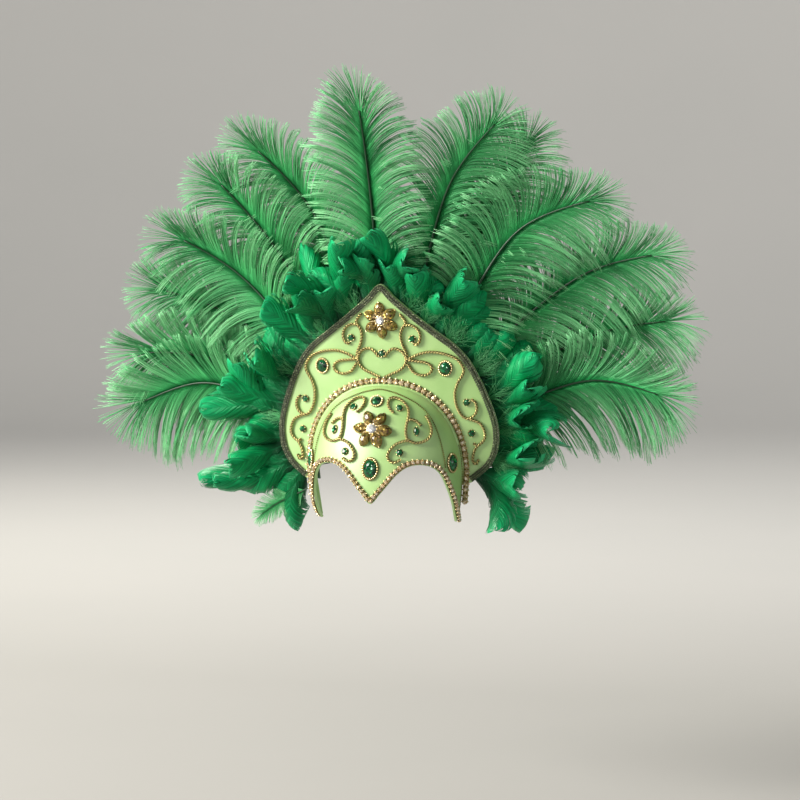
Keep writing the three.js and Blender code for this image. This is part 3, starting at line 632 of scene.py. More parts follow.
def twisted(path, outs, where, thick, turn, plies=2, sides=6):
    """Plies that wind round a path, and a painted shade value for each of their points: low in the hollows
    between the plies, high on their outer sides
    """
    run = unit(np.gradient(path, axis=0))
    side = unit(np.cross(outs, run))
    phase = 2 * np.pi * where / turn
    made, painted_ply_shade = [], []
    for k in range(plies):
        angle = phase + 2 * np.pi * k / plies
        away = np.cos(angle)[:, None] * outs + np.sin(angle)[:, None] * side
        ply = path + 0.6 * thick * away
        tube = strands(ply[None], np.full((1, len(ply)), 0.52 * thick), outs[None], sides)
        made.append((tube, 0))
        spokes = unit(tube[0].reshape(len(ply), sides, 3) - ply[:, None])
        # Painted shade: points that face the hollows between the plies get low values, which darken the
        # thread's colour there
        painted_ply_shade.append(np.clip(0.3 + 0.75 * (spokes * away[:, None]).sum(axis=2), 0, 1).ravel())
    return made, painted_ply_shade


print("mesh helpers are ready")

# %% [markdown]
# ## Satin cap and plate
# The cap is stiffened cloth covered with satin: a quarter of a dome from the scalloped hem up to the arch.
# The plate is a flat spade shape, gently bowed. Each is a grid laid on its skin, with a wall behind it.

# %% Cap


def walled(name, skin, columns, rows, wall, material, node=()):
    """Piece made of one sheet with a wall"""
    bm = bmesh.new()
    faces = add_sheet(bm, skin, columns, rows)
    bmesh.ops.solidify(bm, geom=faces, thickness=wall)
    bmesh.ops.recalc_face_normals(bm, faces=bm.faces)
    made = piece(name, mesh_of(bm), [material], node, sharp=40)
    print(name, len(made.data.polygons), "faces")


def cap_sheet(u, v):
    turn, foot = HEM_LINE.at(u)
    rise = 1 - (1 - v) ** 2
    return cap_skin(turn, foot + rise * (CAP_TOP - foot))


walled("satin_cap", cap_sheet, 120, 40, CAP_WALL, satin, ["crown_cap"])


# %% Plate


def plate_sheet(u, v):
    return plate_skin(*plate_span(u, v))


walled("satin_plate", plate_sheet, 180, 10, PLATE_THICKNESS, satin, ["back_plate"])

# %% [markdown]
# A thin roll of satin covers the joint of cap and plate, and runs down to the cap's tips on both sides.

# %% Piping
PIPING_RADIUS, PIPING_INSET, PIPING_FOOT = 2.4 * MM, 1.2 * MM, -22 * MM
PIPING_LIFT, PIPING_STEP = 1.4 * MM, 2 * MM
path, outs, where = route_on(plate_skin, arch_line(-PIPING_INSET, PIPING_FOOT), PIPING_LIFT, PIPING_STEP)
roll = strands(path[None], np.full((1, len(path)), PIPING_RADIUS), outs[None], 12)
piece("satin_piping", strand_mesh([(roll, 0)]), [satin])
print("piping:", round(where[-1], 3), "m")

# %% [markdown]
# ## Braid round the plate
# The braid is three flat cords of dark metal thread laid side by side and stitched together. Each cord is
# two plies wound round each other, so the braid gets its slanting rows from geometry.

# %% Braid
BRAID_WIDTH, BRAID_THICK, BRAID_TURN = 7 * MM, 1.05 * MM, 5 * MM
BRAID_ROWS, BRAID_FIRST, BRAID_SPACING = 3, 0.16 * BRAID_WIDTH, 0.3 * BRAID_WIDTH
BRAID_LIFT, BRAID_STEP, BRAID_END = 1.15 * MM, 0.55 * MM, 0.004
edge_spots = []
for along_edge in np.linspace(BRAID_END, 1 - BRAID_END, 97):
    edge_tangent = PLATE_LINE.tangent(along_edge)
    edge_spots.append((PLATE_LINE.at(along_edge), np.array([edge_tangent[1], -edge_tangent[0]])))
rows, hollow_shade = [], []
for row_number in range(BRAID_ROWS):
    inset = BRAID_FIRST + BRAID_SPACING * row_number
    route = [spot + inset * normal for spot, normal in edge_spots]
    path, outs, where = route_on(plate_skin, route, CLEARANCE + BRAID_LIFT, BRAID_STEP)
    hand = 1 if row_number % 2 else -1
    made, painted_ply_shade = twisted(path, outs, where * hand, BRAID_THICK, BRAID_TURN, sides=4)
    rows += made
    hollow_shade += painted_ply_shade
edge_braid = piece(
    "woven_edge_braid", strand_mesh(rows, {"shade": np.concatenate(hollow_shade)}), [braid_thread],
    ["edge_braid"],
)
print("braid:", len(edge_braid.data.polygons), "faces")

# %% [markdown]
# ## Gold cords and chain
# The scrolls are twisted gold cord couched on the satin. The routes are the solids' own. The chain is a
# string of tiny balls.

# %% Scrolls
CORD_THICK, CORD_TURN, CORD_STEP = 1.5 * MM, 6 * MM, 0.6 * MM
PLATE_SCROLLS = [
    [(17, 85.5), (20, 83.5), (22, 81), (18.5, 77.5), (17.5, 74), (19, 70), (22, 66), (22.5, 62.5)],
    [(20.5, 79.5), (26, 80), (31.5, 78.5), (34.5, 75.5), (34, 72), (31, 70.2), (28.5, 70.8)],
    [(22.5, 62.5), (31, 65), (40, 66.5), (48.5, 66.5), (57, 65.5), (65, 63.5), (70, 60), (71, 56.5),
     (66, 51.5)],
    [(22.5, 62.5), (30.5, 62), (38, 61.5), (43, 60), (44, 57.5), (40.5, 55.5), (34.5, 55), (28, 56.5),
     (23, 60.5)],
    [(2.5, 63.8), (8, 67.3), (13, 68), (18.5, 66.5), (21.5, 63.5), (21, 60.5), (16.5, 57.5), (8.5, 55.3),
     (2, 53.6)],
    [(66, 51.5), (63.5, 47), (63.5, 42.5), (65.5, 38), (69.5, 34.5), (74, 33.5), (79, 35), (81.5, 38),
     (80.5, 41.5), (77, 43.2)],
    [(74, 33.5), (79, 32.5), (84, 31), (87, 28), (88, 24.5), (86, 22), (81.5, 20), (78, 21)],
    [(81.5, 20), (78.5, 17), (77, 13.5), (78, 11), (80.5, 11), (82, 13)],
]
CAP_SCROLLS = [
    [(21, 76.5), (17.5, 79), (15, 83.5), (18, 88), (26, 89), (34, 87), (38, 82), (37, 76), (33.5, 69.5),
     (31, 63.5), (30.5, 57), (32, 52.5)],
    [(33.5, 69.5), (38, 71), (43, 69.5), (47, 65.5)],
    [(57, 74), (58, 69), (57.5, 62.5), (54, 56.5), (47.5, 52.5), (39, 51), (31, 53), (22, 50.5), (16.5, 45.5),
     (14, 40), (16, 35.5), (20.5, 34.5), (25, 37)],
]
CAP_CHAIN = [(67, 29), (65.5, 46), (64.5, 60), (63.5, 70), (59, 80.5), (49, 87.5), (30, 93.3), (0, 96)]

for word, side in (("left", -1), ("right", 1)):
    for base, skin, spot_of, table in (
        ("plate_scroll", plate_skin, plate_spot, PLATE_SCROLLS),
        ("cap_scroll", cap_skin, cap_spot, CAP_SCROLLS),
    ):
        plies, hollow_shade = [], []
        for row in table:
            route = [(side * spot_of(*spot)[0], spot_of(*spot)[1]) for spot in row]
            path, outs, where = route_on(skin, route, CLEARANCE + 1.1 * CORD_THICK, CORD_STEP)
            made, painted_ply_shade = twisted(path, outs, where * side, CORD_THICK, CORD_TURN)
            plies += made
            hollow_shade += painted_ply_shade
        cord = piece(
            f"gold_cord_{base}_{word}", strand_mesh(plies, {"shade": np.concatenate(hollow_shade)}), [gold_thread],
            [f"{base}_{word}"],
        )
        print(cord.name, len(cord.data.polygons), "faces")

# %% Ball chain


def add_balls(bm, points, radius, number=0, fine=1):
    """Small balls at points, joined in one mesh"""
    for point in points:
        made = bmesh.ops.create_icosphere(bm, subdivisions=fine, radius=radius,
                                          matrix=Matrix.Translation(Vector(point)))
        for face in {f for v in made["verts"] for f in v.link_faces}:
            face.material_index = number


CHAIN_PITCH, CHAIN_BALL, SIDE_PITCH, SIDE_BALL = 2.1 * MM, 0.85 * MM, 1.7 * MM, 0.7 * MM
SIDE_CHAIN = [(87, -14), (86.5, 8), (86.3, 30), (86, 52)]

bm = bmesh.new()
path, outs, where = route_on(
    cap_skin, mirrored([cap_spot(*row) for row in reversed(CAP_CHAIN)]), 0.8 * MM + CLEARANCE, CHAIN_PITCH)
add_balls(bm, path, CHAIN_BALL)
for side in (-1, 1):
    route = [(side * side_turn, side_up * MM) for side_turn, side_up in SIDE_CHAIN]
    path, outs, where = route_on(cap_skin, route, SIDE_BALL + CLEARANCE, SIDE_PITCH)
    add_balls(bm, path, SIDE_BALL)
chain = piece("ball_chain", mesh_of(bm), [old_gold], ["cap_chain"])
print("chain:", len(chain.data.polygons), "faces")

# %% [markdown]
# ## Stones
# Every stone sits in a gold cup. The round ones are cut with eight or more sides and a flat table, and the
# large ovals have a ring of gold beads. The rows along the arch and the hem are square stones on a dark tape.

# %% Cut stones


def axes(at, right, up, out):
    """Matrix of a place on a skin"""
    return Matrix([[right[i], up[i], out[i], at[i]] for i in range(3)] + [[0, 0, 0, 1]])


def add_cut(bm, where, wide, high, low, girdle, tall, sides, number, table=0.5):
    """Cut stone or cup: straight sides to the girdle, then two steps of facets up to a table"""
    verts = bmesh.ops.create_cone(
        bm, cap_ends=True, cap_tris=False, segments=sides, radius1=1, radius2=1, depth=1)["verts"]
    faces = {f for v in verts for f in v.link_faces}
    top = max(faces, key=lambda f: f.calc_center_median().z)
    for v in verts:
        v.co.z = girdle if v.co.z > 0 else low
    rise = tall - girdle
    for thickness, depth in (((1 - table) * 0.45, rise * 0.62), ((1 - table) * 0.55, rise * 0.38)):
        bmesh.ops.inset_region(bm, faces=[top], thickness=thickness, depth=depth, use_even_offset=False)
    reached = set()
    edge = {top}
    while edge:
        reached |= edge
        edge = {g for f in edge for e in f.edges for g in e.link_faces} - reached
    for v in {v for f in reached for v in f.verts}:
        v.co = where @ (Matrix.Diagonal((wide, high, 1, 1)) @ v.co)
    for f in reached:
        f.material_index = number


def add_setting(bm, where, wide, high, sides, tall, claws=4, share=0.84):
    """Gold cup with claws and the stone in it"""
    add_cut(bm, where, wide, high, 0.0, tall * 0.3, tall * 0.38, 2 * sides, 0, 0.8)
    add_cut(bm, where, wide * share, high * share, tall * 0.25, tall * 0.45, tall, sides, 1, 0.5)
    angles = 2 * np.pi * (np.arange(claws) + 0.5) / claws
    spots = [where @ Vector((wide * 0.9 * math.cos(a), high * 0.9 * math.sin(a), tall * 0.5)) for a in angles]
    add_balls(bm, spots, 0.075 * (wide + high), 2)


GEM_HEIGHT, OVAL_HEIGHT = 3 * MM, 4.2 * MM
OVAL_CUP, CUP_WALL, CUP_HEIGHT = 0.98, 0.9 * MM, 1.2 * MM
RING_SHARE, RING_PITCH, RING_BEAD, RING_LIFT = 0.86, 2.3 * MM, 0.95 * MM, 1.3 * MM
OVAL_SHARE, OVAL_FOOT, OVAL_GIRDLE = 0.73, 1 * MM, 1.9 * MM
PLATE_GEMS = [
    ("heart_gem", 0, 65.5, 4, 4, False), ("spiral_gem", 27.5, 73, 3.8, 3.8, False),
    ("edge_gem", 73, 41.5, 3.8, 3.8, False), ("side_gem", 76.5, 26, 3.8, 3.8, False),
    ("plate_oval", 55.5, 58.5, 7.5, 8.5, True),
]
CAP_GEMS = [
    ("crown_gem", 0, 86.5, 7, 7, True), ("peak_oval", 0, 28.5, 9, 12, True),
    ("brow_gem", 28.5, 81, 3.8, 3.8, False), ("flank_gem", 41, 61, 3.2, 4.8, False),
    ("low_gem", 24, 42.8, 3.8, 3.8, False), ("temple_oval", 77, 32, 7.5, 10.5, True),
]


def add_gem(name, node, skin, spot, wide, high, ringed):
    """One stone in its setting, in place of its solid"""
    where = skin_frame(skin, *spot)
    base = axes(where["at"] + CLEARANCE * where["out"], where["right"], where["up"], where["out"])
    bm = bmesh.new()
    if ringed:
        add_cut(bm, base, wide * OVAL_CUP, high * OVAL_CUP, 0, CUP_WALL, CUP_HEIGHT, 24, 0, 0.75)
        around = math.pi * (3 * (wide + high) - math.sqrt((3 * wide + high) * (wide + 3 * high))) * 0.88
        beads = round(around / RING_PITCH)
        angles = 2 * np.pi * np.arange(beads) / beads
        reach = RING_SHARE * Vector((wide, high))
        ring = [base @ Vector((reach.x * math.cos(a), reach.y * math.sin(a), RING_LIFT)) for a in angles]
        add_balls(bm, ring, RING_BEAD, 2, 2)
        add_cut(bm, base, wide * OVAL_SHARE, high * OVAL_SHARE, OVAL_FOOT, OVAL_GIRDLE, OVAL_HEIGHT, 12, 1)
    else:
        add_setting(bm, base, wide, high, 8, GEM_HEIGHT, 6, 0.92)
    piece(name, mesh_of(bm), [old_gold, emerald, cup_gold], [node], sharp=22)


gem_count = 0
for skin, spot_of, table in ((plate_skin, plate_spot, PLATE_GEMS), (cap_skin, cap_spot, CAP_GEMS)):
    for name, across, up, wide, high, ringed in table:
        a, b = spot_of(across, up)
        for word, side in (("", 1),) if across == 0 else (("_left", -1), ("_right", 1)):
            add_gem(f"set_{name}{word}", name + word, skin, (side * a, b), wide * MM, high * MM, ringed)
            gem_count += 1
print(gem_count, "stones in settings")

# %% Stone trims
TRIM_WIDTH, TRIM_FOOT, TRIM_GAP = 7 * MM, -5 * MM, 0.5 * MM
HEM_TRIM_WIDTH = 5.6 * MM
STONE_PITCH, STONE_SHARE, STONE_HEIGHT = 0.86, 0.45, 3.4 * MM
BEAD_PLACE, BEAD_SHARE, BEAD_LIFT, LEAN = 0.46, 0.12, 1 * MM, 0.12
TAPE_SHARE, TAPE_LIFT, TAPE_FLATNESS = 0.44, 0.4 * MM, 0.14


def stone_row(name, node, skin, route, lift, width):
    """Row of square stones in cups on a dark tape, with beads along both edges"""
    path, outs, where = route_on(skin, route, lift, STONE_PITCH * width / 2)
    run = unit(np.gradient(path, axis=0))
    bm = bmesh.new()
    middle_line, half_widths = (path + TAPE_LIFT * outs)[None], np.full((1, len(path)), TAPE_SHARE * width)
    tape = strands(middle_line, half_widths, outs[None], 8, TAPE_FLATNESS)
    bm.from_mesh(strand_mesh([(tape, 0)]))
    for i in range(0, len(path) - 1, 2):
        middle = min(i + 1, len(path) - 1)
        side = np.cross(outs[middle], run[middle])
        base = axes(path[middle], run[middle], side, outs[middle])
        turned = base @ Matrix.Rotation(math.pi / 4 + rng.uniform(-LEAN, LEAN), 4, "Z")
        add_setting(bm, turned, width * STONE_SHARE, width * STONE_SHARE, 4, STONE_HEIGHT, share=1.02)
        above, aside = path[middle] + BEAD_LIFT * outs[middle], BEAD_PLACE * width * side
        add_balls(bm, [above - aside, above + aside], width * BEAD_SHARE, 2)
    made = piece(name, mesh_of(bm), [old_gold, champagne, cup_gold], [node], sharp=22)
    print(name, len(path) // 2, "stones,", len(made.data.polygons), "faces")


arch_route = arch_line(TRIM_GAP + TRIM_WIDTH / 2, TRIM_FOOT)
stone_row("arch_stones", "arch_trim", plate_skin, arch_route, CLEARANCE, TRIM_WIDTH)

above_hem = []
for t in np.linspace(0, 1, 61):
    a, b = HEM_LINE.at(t)
    here = skin_frame(cap_skin, a, b)
    ahead, behind = HEM_LINE.at(min(t + 0.005, 1)), HEM_LINE.at(max(t - 0.005, 0))
    forward = unit(cap_skin(*ahead) - cap_skin(*behind))
    inward = np.cross(here["out"], forward)
    rise = HEM_TRIM_WIDTH / 2 + CLEARANCE
    above_hem.append((
        a + rise * (inward @ here["right"]) / here["right_scale"],
        b + rise * (inward @ here["up"]) / here["up_scale"],
    ))
stone_row("hem_stones", "hem_trim", cap_skin, above_hem, TRIM_GAP, HEM_TRIM_WIDTH)

# %% [markdown]
# ## Flower brooches
# Six broad amber stones in gold settings stand round a white crystal. Each petal is a cut stone whose
# outline is drawn in towards both ends.

# %% Brooches
FLOWER_PETALS, FLOWER_PRONGS = 6, 10
# Lengths and widths are shares of the brooch's radius; heights are above the satin
PETAL_PLACE, PETAL_LIFT, PETAL_TILT, PETAL_ROLL = 0.62, 1.6 * MM, 0.3, 0.25
PETAL_CUP, PETAL_CUP_FOOT, PETAL_CUP_RISE = (0.82, 0.62), -0.6 * MM, 1.7 * MM
PETAL_STONE, PETAL_STONE_FOOT, PETAL_STONE_RISE = (0.74, 0.52), 0.6 * MM, 4 * MM
CLAW_PLACE, CLAW_LIFT, CLAW_RADIUS = 0.37, 1.2 * MM, 0.8 * MM
SEPAL, SEPAL_PLACE, SEPAL_LIFT, SEPAL_RISE = (0.4, 0.16), 0.38, 0.9 * MM, 2.6 * MM
EYE_CUP, EYE_CUP_WALL, EYE_CUP_HEIGHT = 0.3, 3.2 * MM, 3.6 * MM
PRONG_PLACE, PRONG_LIFT, PRONG_RADIUS = 0.27, 3.9 * MM, 0.75 * MM
EYE_STONE, EYE_FOOT, EYE_GIRDLE, EYE_HEIGHT = 0.235, 3 * MM, 4.4 * MM, 6.2 * MM


def add_petal(bm, where, size, low, tall, number, sides=14):
    """Pointed petal of a length and a width: a cut stone squeezed towards its two ends"""
    length, width = size
    start = set(bm.verts)
    add_cut(bm, Matrix.Identity(4), 1, 1, 0, 0.35, 1, sides, number, 0.35)
    for v in set(bm.verts) - start:
        reach = max(-1.0, min(1.0, v.co.y))
        slim = (1 - abs(reach) ** 1.5) ** 0.62
        radius = math.hypot(v.co.x, v.co.y)
        squeeze = v.co.x / max(0.05, math.sqrt(max(0.0025, 1 - reach**2)))
        wide = width / 2 * squeeze * slim if radius > 0.9 else width / 2 * v.co.x
        v.co = where @ Vector((wide, length / 2 * v.co.y, low + tall * v.co.z))


def flower(name, node, skin, spot, radius, turned):
    """Brooch whose petals are turned clockwise by degrees"""
    middle = skin_frame(skin, *spot)
    base = axes(middle["at"] + CLEARANCE * middle["out"], middle["right"], middle["up"], middle["out"])
    bm = bmesh.new()
    for k in range(FLOWER_PETALS):
        angle = 2 * math.pi * (k + 0.5) / FLOWER_PETALS + math.radians(turned)
        lean = Matrix.Rotation(rng.uniform(-PETAL_TILT, 0.0), 4, "X")
        lean @= Matrix.Rotation(rng.uniform(-PETAL_ROLL, PETAL_ROLL), 4, "Y")
        turn = Matrix.Rotation(-angle, 4, "Z")
        centre = base @ turn @ Matrix.Translation((0, radius * PETAL_PLACE, PETAL_LIFT)) @ lean
        add_petal(bm, centre, [radius * s for s in PETAL_CUP], PETAL_CUP_FOOT, PETAL_CUP_RISE, 0)
        add_petal(bm, centre, [radius * s for s in PETAL_STONE], PETAL_STONE_FOOT, PETAL_STONE_RISE, 1, 8)
        add_balls(bm, [centre @ Vector((0, radius * CLAW_PLACE, CLAW_LIFT))], CLAW_RADIUS, 3)
        gap = base @ Matrix.Rotation(-angle - math.pi / FLOWER_PETALS, 4, "Z")
        gap @= Matrix.Translation((0, radius * SEPAL_PLACE, SEPAL_LIFT))
        add_petal(bm, gap, [radius * s for s in SEPAL], 0, SEPAL_RISE, 3, 8)
    cup, ring, stone_radius = (radius * s for s in (EYE_CUP, PRONG_PLACE, EYE_STONE))
    add_cut(bm, base, cup, cup, 0, EYE_CUP_WALL, EYE_CUP_HEIGHT, 16, 3, 0.8)
    angles = 2 * np.pi * np.arange(FLOWER_PRONGS) / FLOWER_PRONGS
    prongs = [base @ Vector((ring * math.cos(a), ring * math.sin(a), PRONG_LIFT)) for a in angles]
    add_balls(bm, prongs, PRONG_RADIUS, 3)
    add_cut(bm, base, stone_radius, stone_radius, EYE_FOOT, EYE_GIRDLE, EYE_HEIGHT, 10, 2)
    made = piece(name, mesh_of(bm), [old_gold, amber, crystal, cup_gold], [node], sharp=22)
    print(name, len(made.data.polygons), "faces")


flower("plate_brooch", "plate_flower", plate_skin, plate_spot(0, 82), 18.5 * MM, 25)
flower("cap_brooch", "cap_flower", cap_skin, cap_spot(0, 62.5), 20 * MM, 5)

# %% [markdown]
# ## Ruff of curled feathers
# About a hundred broad goose feathers stand round the plate in three rings. Each one is a thin leaf that is
# bent over steam: some curl back over their neighbour, some forward. A grid is laid on a bent centre line
# with a cupped cross-section, then gets its thickness.

# %% Ruff feathers
RUFF_OUTLINE = [
    (-130, 148), (-125, 172), (-115, 176), (-102, 198), (-93, 176), (-81, 188), (-64, 181), (-48, 166),
    (-30, 182), (-12, 196), (-3, 200), (9, 182), (21, 176), (37, 180), (51, 168), (69, 174), (90, 156),
    (103, 168), (112, 170), (122, 160), (130, 146),
]
RUFF_RINGS = [
    ("ruff_front", 36, 0.6, 38, 4.2, 0.22), ("ruff_middle", 34, 0.82, 44, 5.6, 0.52),
    ("ruff_back", 30, 1.0, 45, 7.0, 0.86),
]
RUFF_HIDDEN, RUFF_LIFT_OFF, RUFF_ROOT, RUFF_LEAST = 15 * MM, 4 * MM, 14 * MM, 24 * MM
LEAF_COLUMNS, LEAF_ROWS, LEAF_BENDS, LEAF_SPLITS, LEAF_THICKNESS = 12, 24, 16, 6, 0.35 * MM


def ruff_reach(degrees):
    angles, reaches = zip(*RUFF_OUTLINE)
    return float(np.interp(degrees, angles, reaches)) * MM


def feather_width(v):
    """Width of the leaf as a share, from its stalk to its round tip"""
    low = 0.3 + 0.7 * math.sin(min(1.0, v / 0.66) * math.pi / 2) ** 1.4
    tip = math.sqrt(max(0.0, 1 - max(0.0, (v - 0.66) / 0.34) ** 2.6))
    return low * max(tip, 0.06)


def add_feather(bm, layers, root, heading, length, width, depth, rise, bend, sickle, cup, roll, shade):
    """One curled feather: heading is its direction in the fan's plane, rise its start towards the viewer"""
    along, across, tone = layers
    step = length / LEAF_BENDS
    splits = [
        (rng.uniform(0.35, 0.97), rng.choice((-1, 1)), rng.uniform(0.15, 0.6)) for _ in range(LEAF_SPLITS)
    ]
    spot, forward, angle, slope = np.array(root, float), 0.0, heading, 0.0
    rows = [(spot.copy(), 0.0, heading, 0.0)]
    for k in range(LEAF_BENDS):
        spot = spot + step * math.cos(slope) * np.array([math.sin(angle), math.cos(angle)])
        forward += step * math.sin(slope)
        rows.append((spot.copy(), forward, angle, slope))
        angle += sickle / LEAF_BENDS
        out_of = min(1.0, max(0.0, (k * step - RUFF_HIDDEN) / RUFF_LIFT_OFF))
        slope = out_of * rise + bend * (k / LEAF_BENDS) ** 1.6

    def leaf(u, v):
        k = min(LEAF_BENDS - 1, int(v * LEAF_BENDS))
        t = v * LEAF_BENDS - k
        spot = rows[k][0] * (1 - t) + rows[k + 1][0] * t
        forward = rows[k][1] * (1 - t) + rows[k + 1][1] * t
        angle, slope = (rows[k][i] * (1 - t) + rows[k + 1][i] * t for i in (2, 3))
        side = 2 * u - 1
        half = width / 2 * feather_width(v)
        ripple = 0.03 * math.sin(9 * side + 17 * v + 40 * shade) * half
        fall = cup * half * side**2 * min(1.0, 2 * v) - ripple + roll * half * side * v
        reach = half * side * (1 - 0.3 * abs(cup) * side**2)
        for notch, notch_side, deep in splits:
            if notch_side * side > 0:
                reach *= 1 - deep * side**2 * math.exp(-((v - notch + 0.1 * (1 - abs(side))) / 0.02) ** 2)
        spot = spot + reach * np.array([math.cos(angle), -math.sin(angle)])
        spot = spot + fall * math.sin(slope) * np.array([math.sin(angle), math.cos(angle)])
        place = fan_points(spot, depth)
        return place + np.array([0, -forward + fall * math.cos(slope), 0])

    values = ((along, lambda u, v: v), (across, lambda u, v: 2 * u - 1), (tone, lambda u, v: shade))
    faces = add_sheet(bm, leaf, LEAF_COLUMNS, LEAF_ROWS, values)
    bmesh.ops.solidify(bm, geom=faces, thickness=LEAF_THICKNESS)


for ring, count, extent, width, depth, offset in RUFF_RINGS:
    bm = bmesh.new()
    layers = [bm.verts.layers.float.new(name) for name in ("along", "across", "shade")]
    for i in range(count):
        edge_share = 0.012 + 0.976 * (i + offset) / count + rng.uniform(-0.006, 0.006)
        edge = PLATE_LINE.at(edge_share)
        tangent = PLATE_LINE.tangent(edge_share)
        radial = unit(edge - np.array([0, FAN_HEIGHT]))
        outward = unit(np.array([-tangent[1], tangent[0]]) + 1.2 * radial)
        degrees = math.degrees(math.atan2(edge[0], edge[1] - FAN_HEIGHT))
        past = ruff_reach(degrees) - np.linalg.norm(edge - np.array([0, FAN_HEIGHT]))
        root = edge - RUFF_ROOT * outward
        heading = math.atan2(outward[0], outward[1]) + rng.uniform(-0.3, 0.3)
        length = (RUFF_ROOT + max(RUFF_LEAST, past) * extent) * rng.uniform(1.05, 1.34)
        rise = rng.uniform(0.25, 0.8) if ring != "ruff_back" else rng.uniform(0.1, 0.35)
        bend = -rng.uniform(1.0, 2.6) if rng.random() < 0.72 else rng.uniform(0.3, 1.2)
        add_feather(
            bm, layers, root, heading, length, (width + rng.uniform(-7, 8)) * MM, depth * MM, rise, bend,
            rng.uniform(-1.3, 1.3), rng.uniform(0.5, 1.5), rng.uniform(-0.6, 0.6), rng.random(),
        )
    bmesh.ops.recalc_face_normals(bm, faces=bm.faces)
    made = piece(f"curled_{ring}", mesh_of(bm), [ruff_feather], [ring])
    print(made.name, count, "feathers,", len(made.data.polygons), "faces")

# %% [markdown]
# A strip of felt behind the plate carries the roots of the ruff and hides them from behind.

# %% Felt over the ruff's roots
FELT_SHARES, FELT_NEAR, FELT_WALL = (0.36, 0.95), 7.1 * MM, 1.2 * MM


def behind_plate(shares, depth):
    """Sheet behind the plate, between two shares of the way from its arch to its edge"""

    def sheet(u, v):
        spot = plate_span(u, shares[0] + (shares[1] - shares[0]) * v)
        return plate_skin(*spot) + np.array([0, depth, 0])

    return sheet


walled("ruff_felt", behind_plate(FELT_SHARES, FELT_NEAR), 120, 4, FELT_WALL, felt)

# %% [markdown]
# ## Ostrich plumes
# A plume is a thin dark quill with hundreds of long soft barbs on both sides. The barbs cling together in
# clumps that part towards their tips, and they bow over with their own weight. Each barb is one tapered
# strand of a single mesh, and neighbours in a clump lean towards a common line.

# %% Plumes
PLUME_REACH, BARB_LENGTH, BARB_DROOP = 373 * MM, 78 * MM, 18 * MM
QUILL_DEPTH, PLUME_SWELL, PLUME_LAYER_STEP, PLUME_RISE_LENGTH = 10.1 * MM, 3 * MM, 9 * MM, 45 * MM
PLUMES = [
    (-80, -79, -89, 0.82, 0), (-72, -72, -77, 0.835, 1), (-57, -58.5, -63, 0.85, 2),
    (-46.5, -46, -50.5, 0.865, 0), (-33, -33.5, -35.5, 0.905, 1), (-18.5, -20, -27, 0.93, 2),
    (-2.5, -2, -1, 0.975, 0), (13.5, 16, 25, 1, 1), (24, 25, 29, 0.985, 2), (34.5, 34, 46, 0.94, 0),
    (50.5, 51, 59, 0.97, 1), (64.5, 64.5, 69.5, 0.895, 2), (79, 75.5, 84.5, 0.81, 0),
]
BARBS_A_SIDE, BARB_RADIUS, BARB_SIDES, STATIONS = 440, 0.52 * MM, 3, 8
QUILL_END, QUILL_SIDES, QUILL_STATIONS = 0.86, 8, 40
QUILL_RADIUS, QUILL_TAPER, QUILL_FORWARD = 1.8, 1.4, 1.2 * MM
TOWARDS_VIEWER = np.array([0.0, -1.0, 0.0])


def polar(degrees, reach):
    angle = math.radians(degrees)
    return np.array([reach * math.sin(angle), FAN_HEIGHT + reach * math.cos(angle)])


def reach_at(line, degrees):
    """Radius of an edge line round the fan's centre at an angle from upright"""
    spots = line.dense - np.array([0, FAN_HEIGHT])
    angles = np.degrees(np.arctan2(spots[:, 0], spots[:, 1]))
    return float(np.hypot(*spots[np.argmin(np.abs(angles - degrees))]))


def vane(spine, start, count, lengths, leans, droop, depth_at, stir):
    """Barbs on both sides of a quill: their lines, and a tone for each"""
    lines, tones = [], []
    v = np.linspace(0, 1, STATIONS)
    for side in (-1, 1):
        clump_end = 0
        for k in range(count):
            run = k / (count - 1)
            if k >= clump_end:
                clump_start, clump_end = k, k + int(rng.integers(5, 16))
                clump_lean = rng.uniform(-0.08, 0.08) if rng.random() < 0.85 else rng.uniform(-0.3, 0.3)
                clump_tone, clump_length = rng.random(), rng.uniform(0.9, 1.08)
                clump_fall = rng.uniform(-6, 13)
            within = (k - clump_start + 0.5) / max(1, clump_end - clump_start) - 0.5
            where = start + (QUILL_END - start) * run
            spot, tangent = spine.at(where), spine.tangent(where)
            normal = np.array([tangent[1], -tangent[0]])
            length = lengths(run) * clump_length * rng.uniform(0.93, 1.04)
            mean = leans(run) + rng.uniform(-0.85, 0.5) * run**14
            first = 0.62 * mean + rng.uniform(-0.03, 0.03)
            last = 1.32 * mean + clump_lean + 0.1 * within + rng.uniform(-0.05, 0.05)
            angles = first + (last - first) * v**1.3
            steps = np.cos(angles)[:, None] * tangent + side * np.sin(angles)[:, None] * normal
            spots = spot + np.concatenate([[[0, 0]], np.cumsum(steps[1:], axis=0)]) * length / (STATIONS - 1)
            spots[:, 1] -= droop * v**2 * (0.4 + 0.6 * abs(tangent[0])) * (length / BARB_LENGTH) ** 2
            depth = depth_at(spots) + stir * (rng.uniform(-1.5, 1.5) * v - clump_fall * v**2) * MM
            lines.append(fan_points(spots, depth))
            tones.append(0.6 * clump_tone + 0.4 * rng.random())
    return np.array(lines), tones


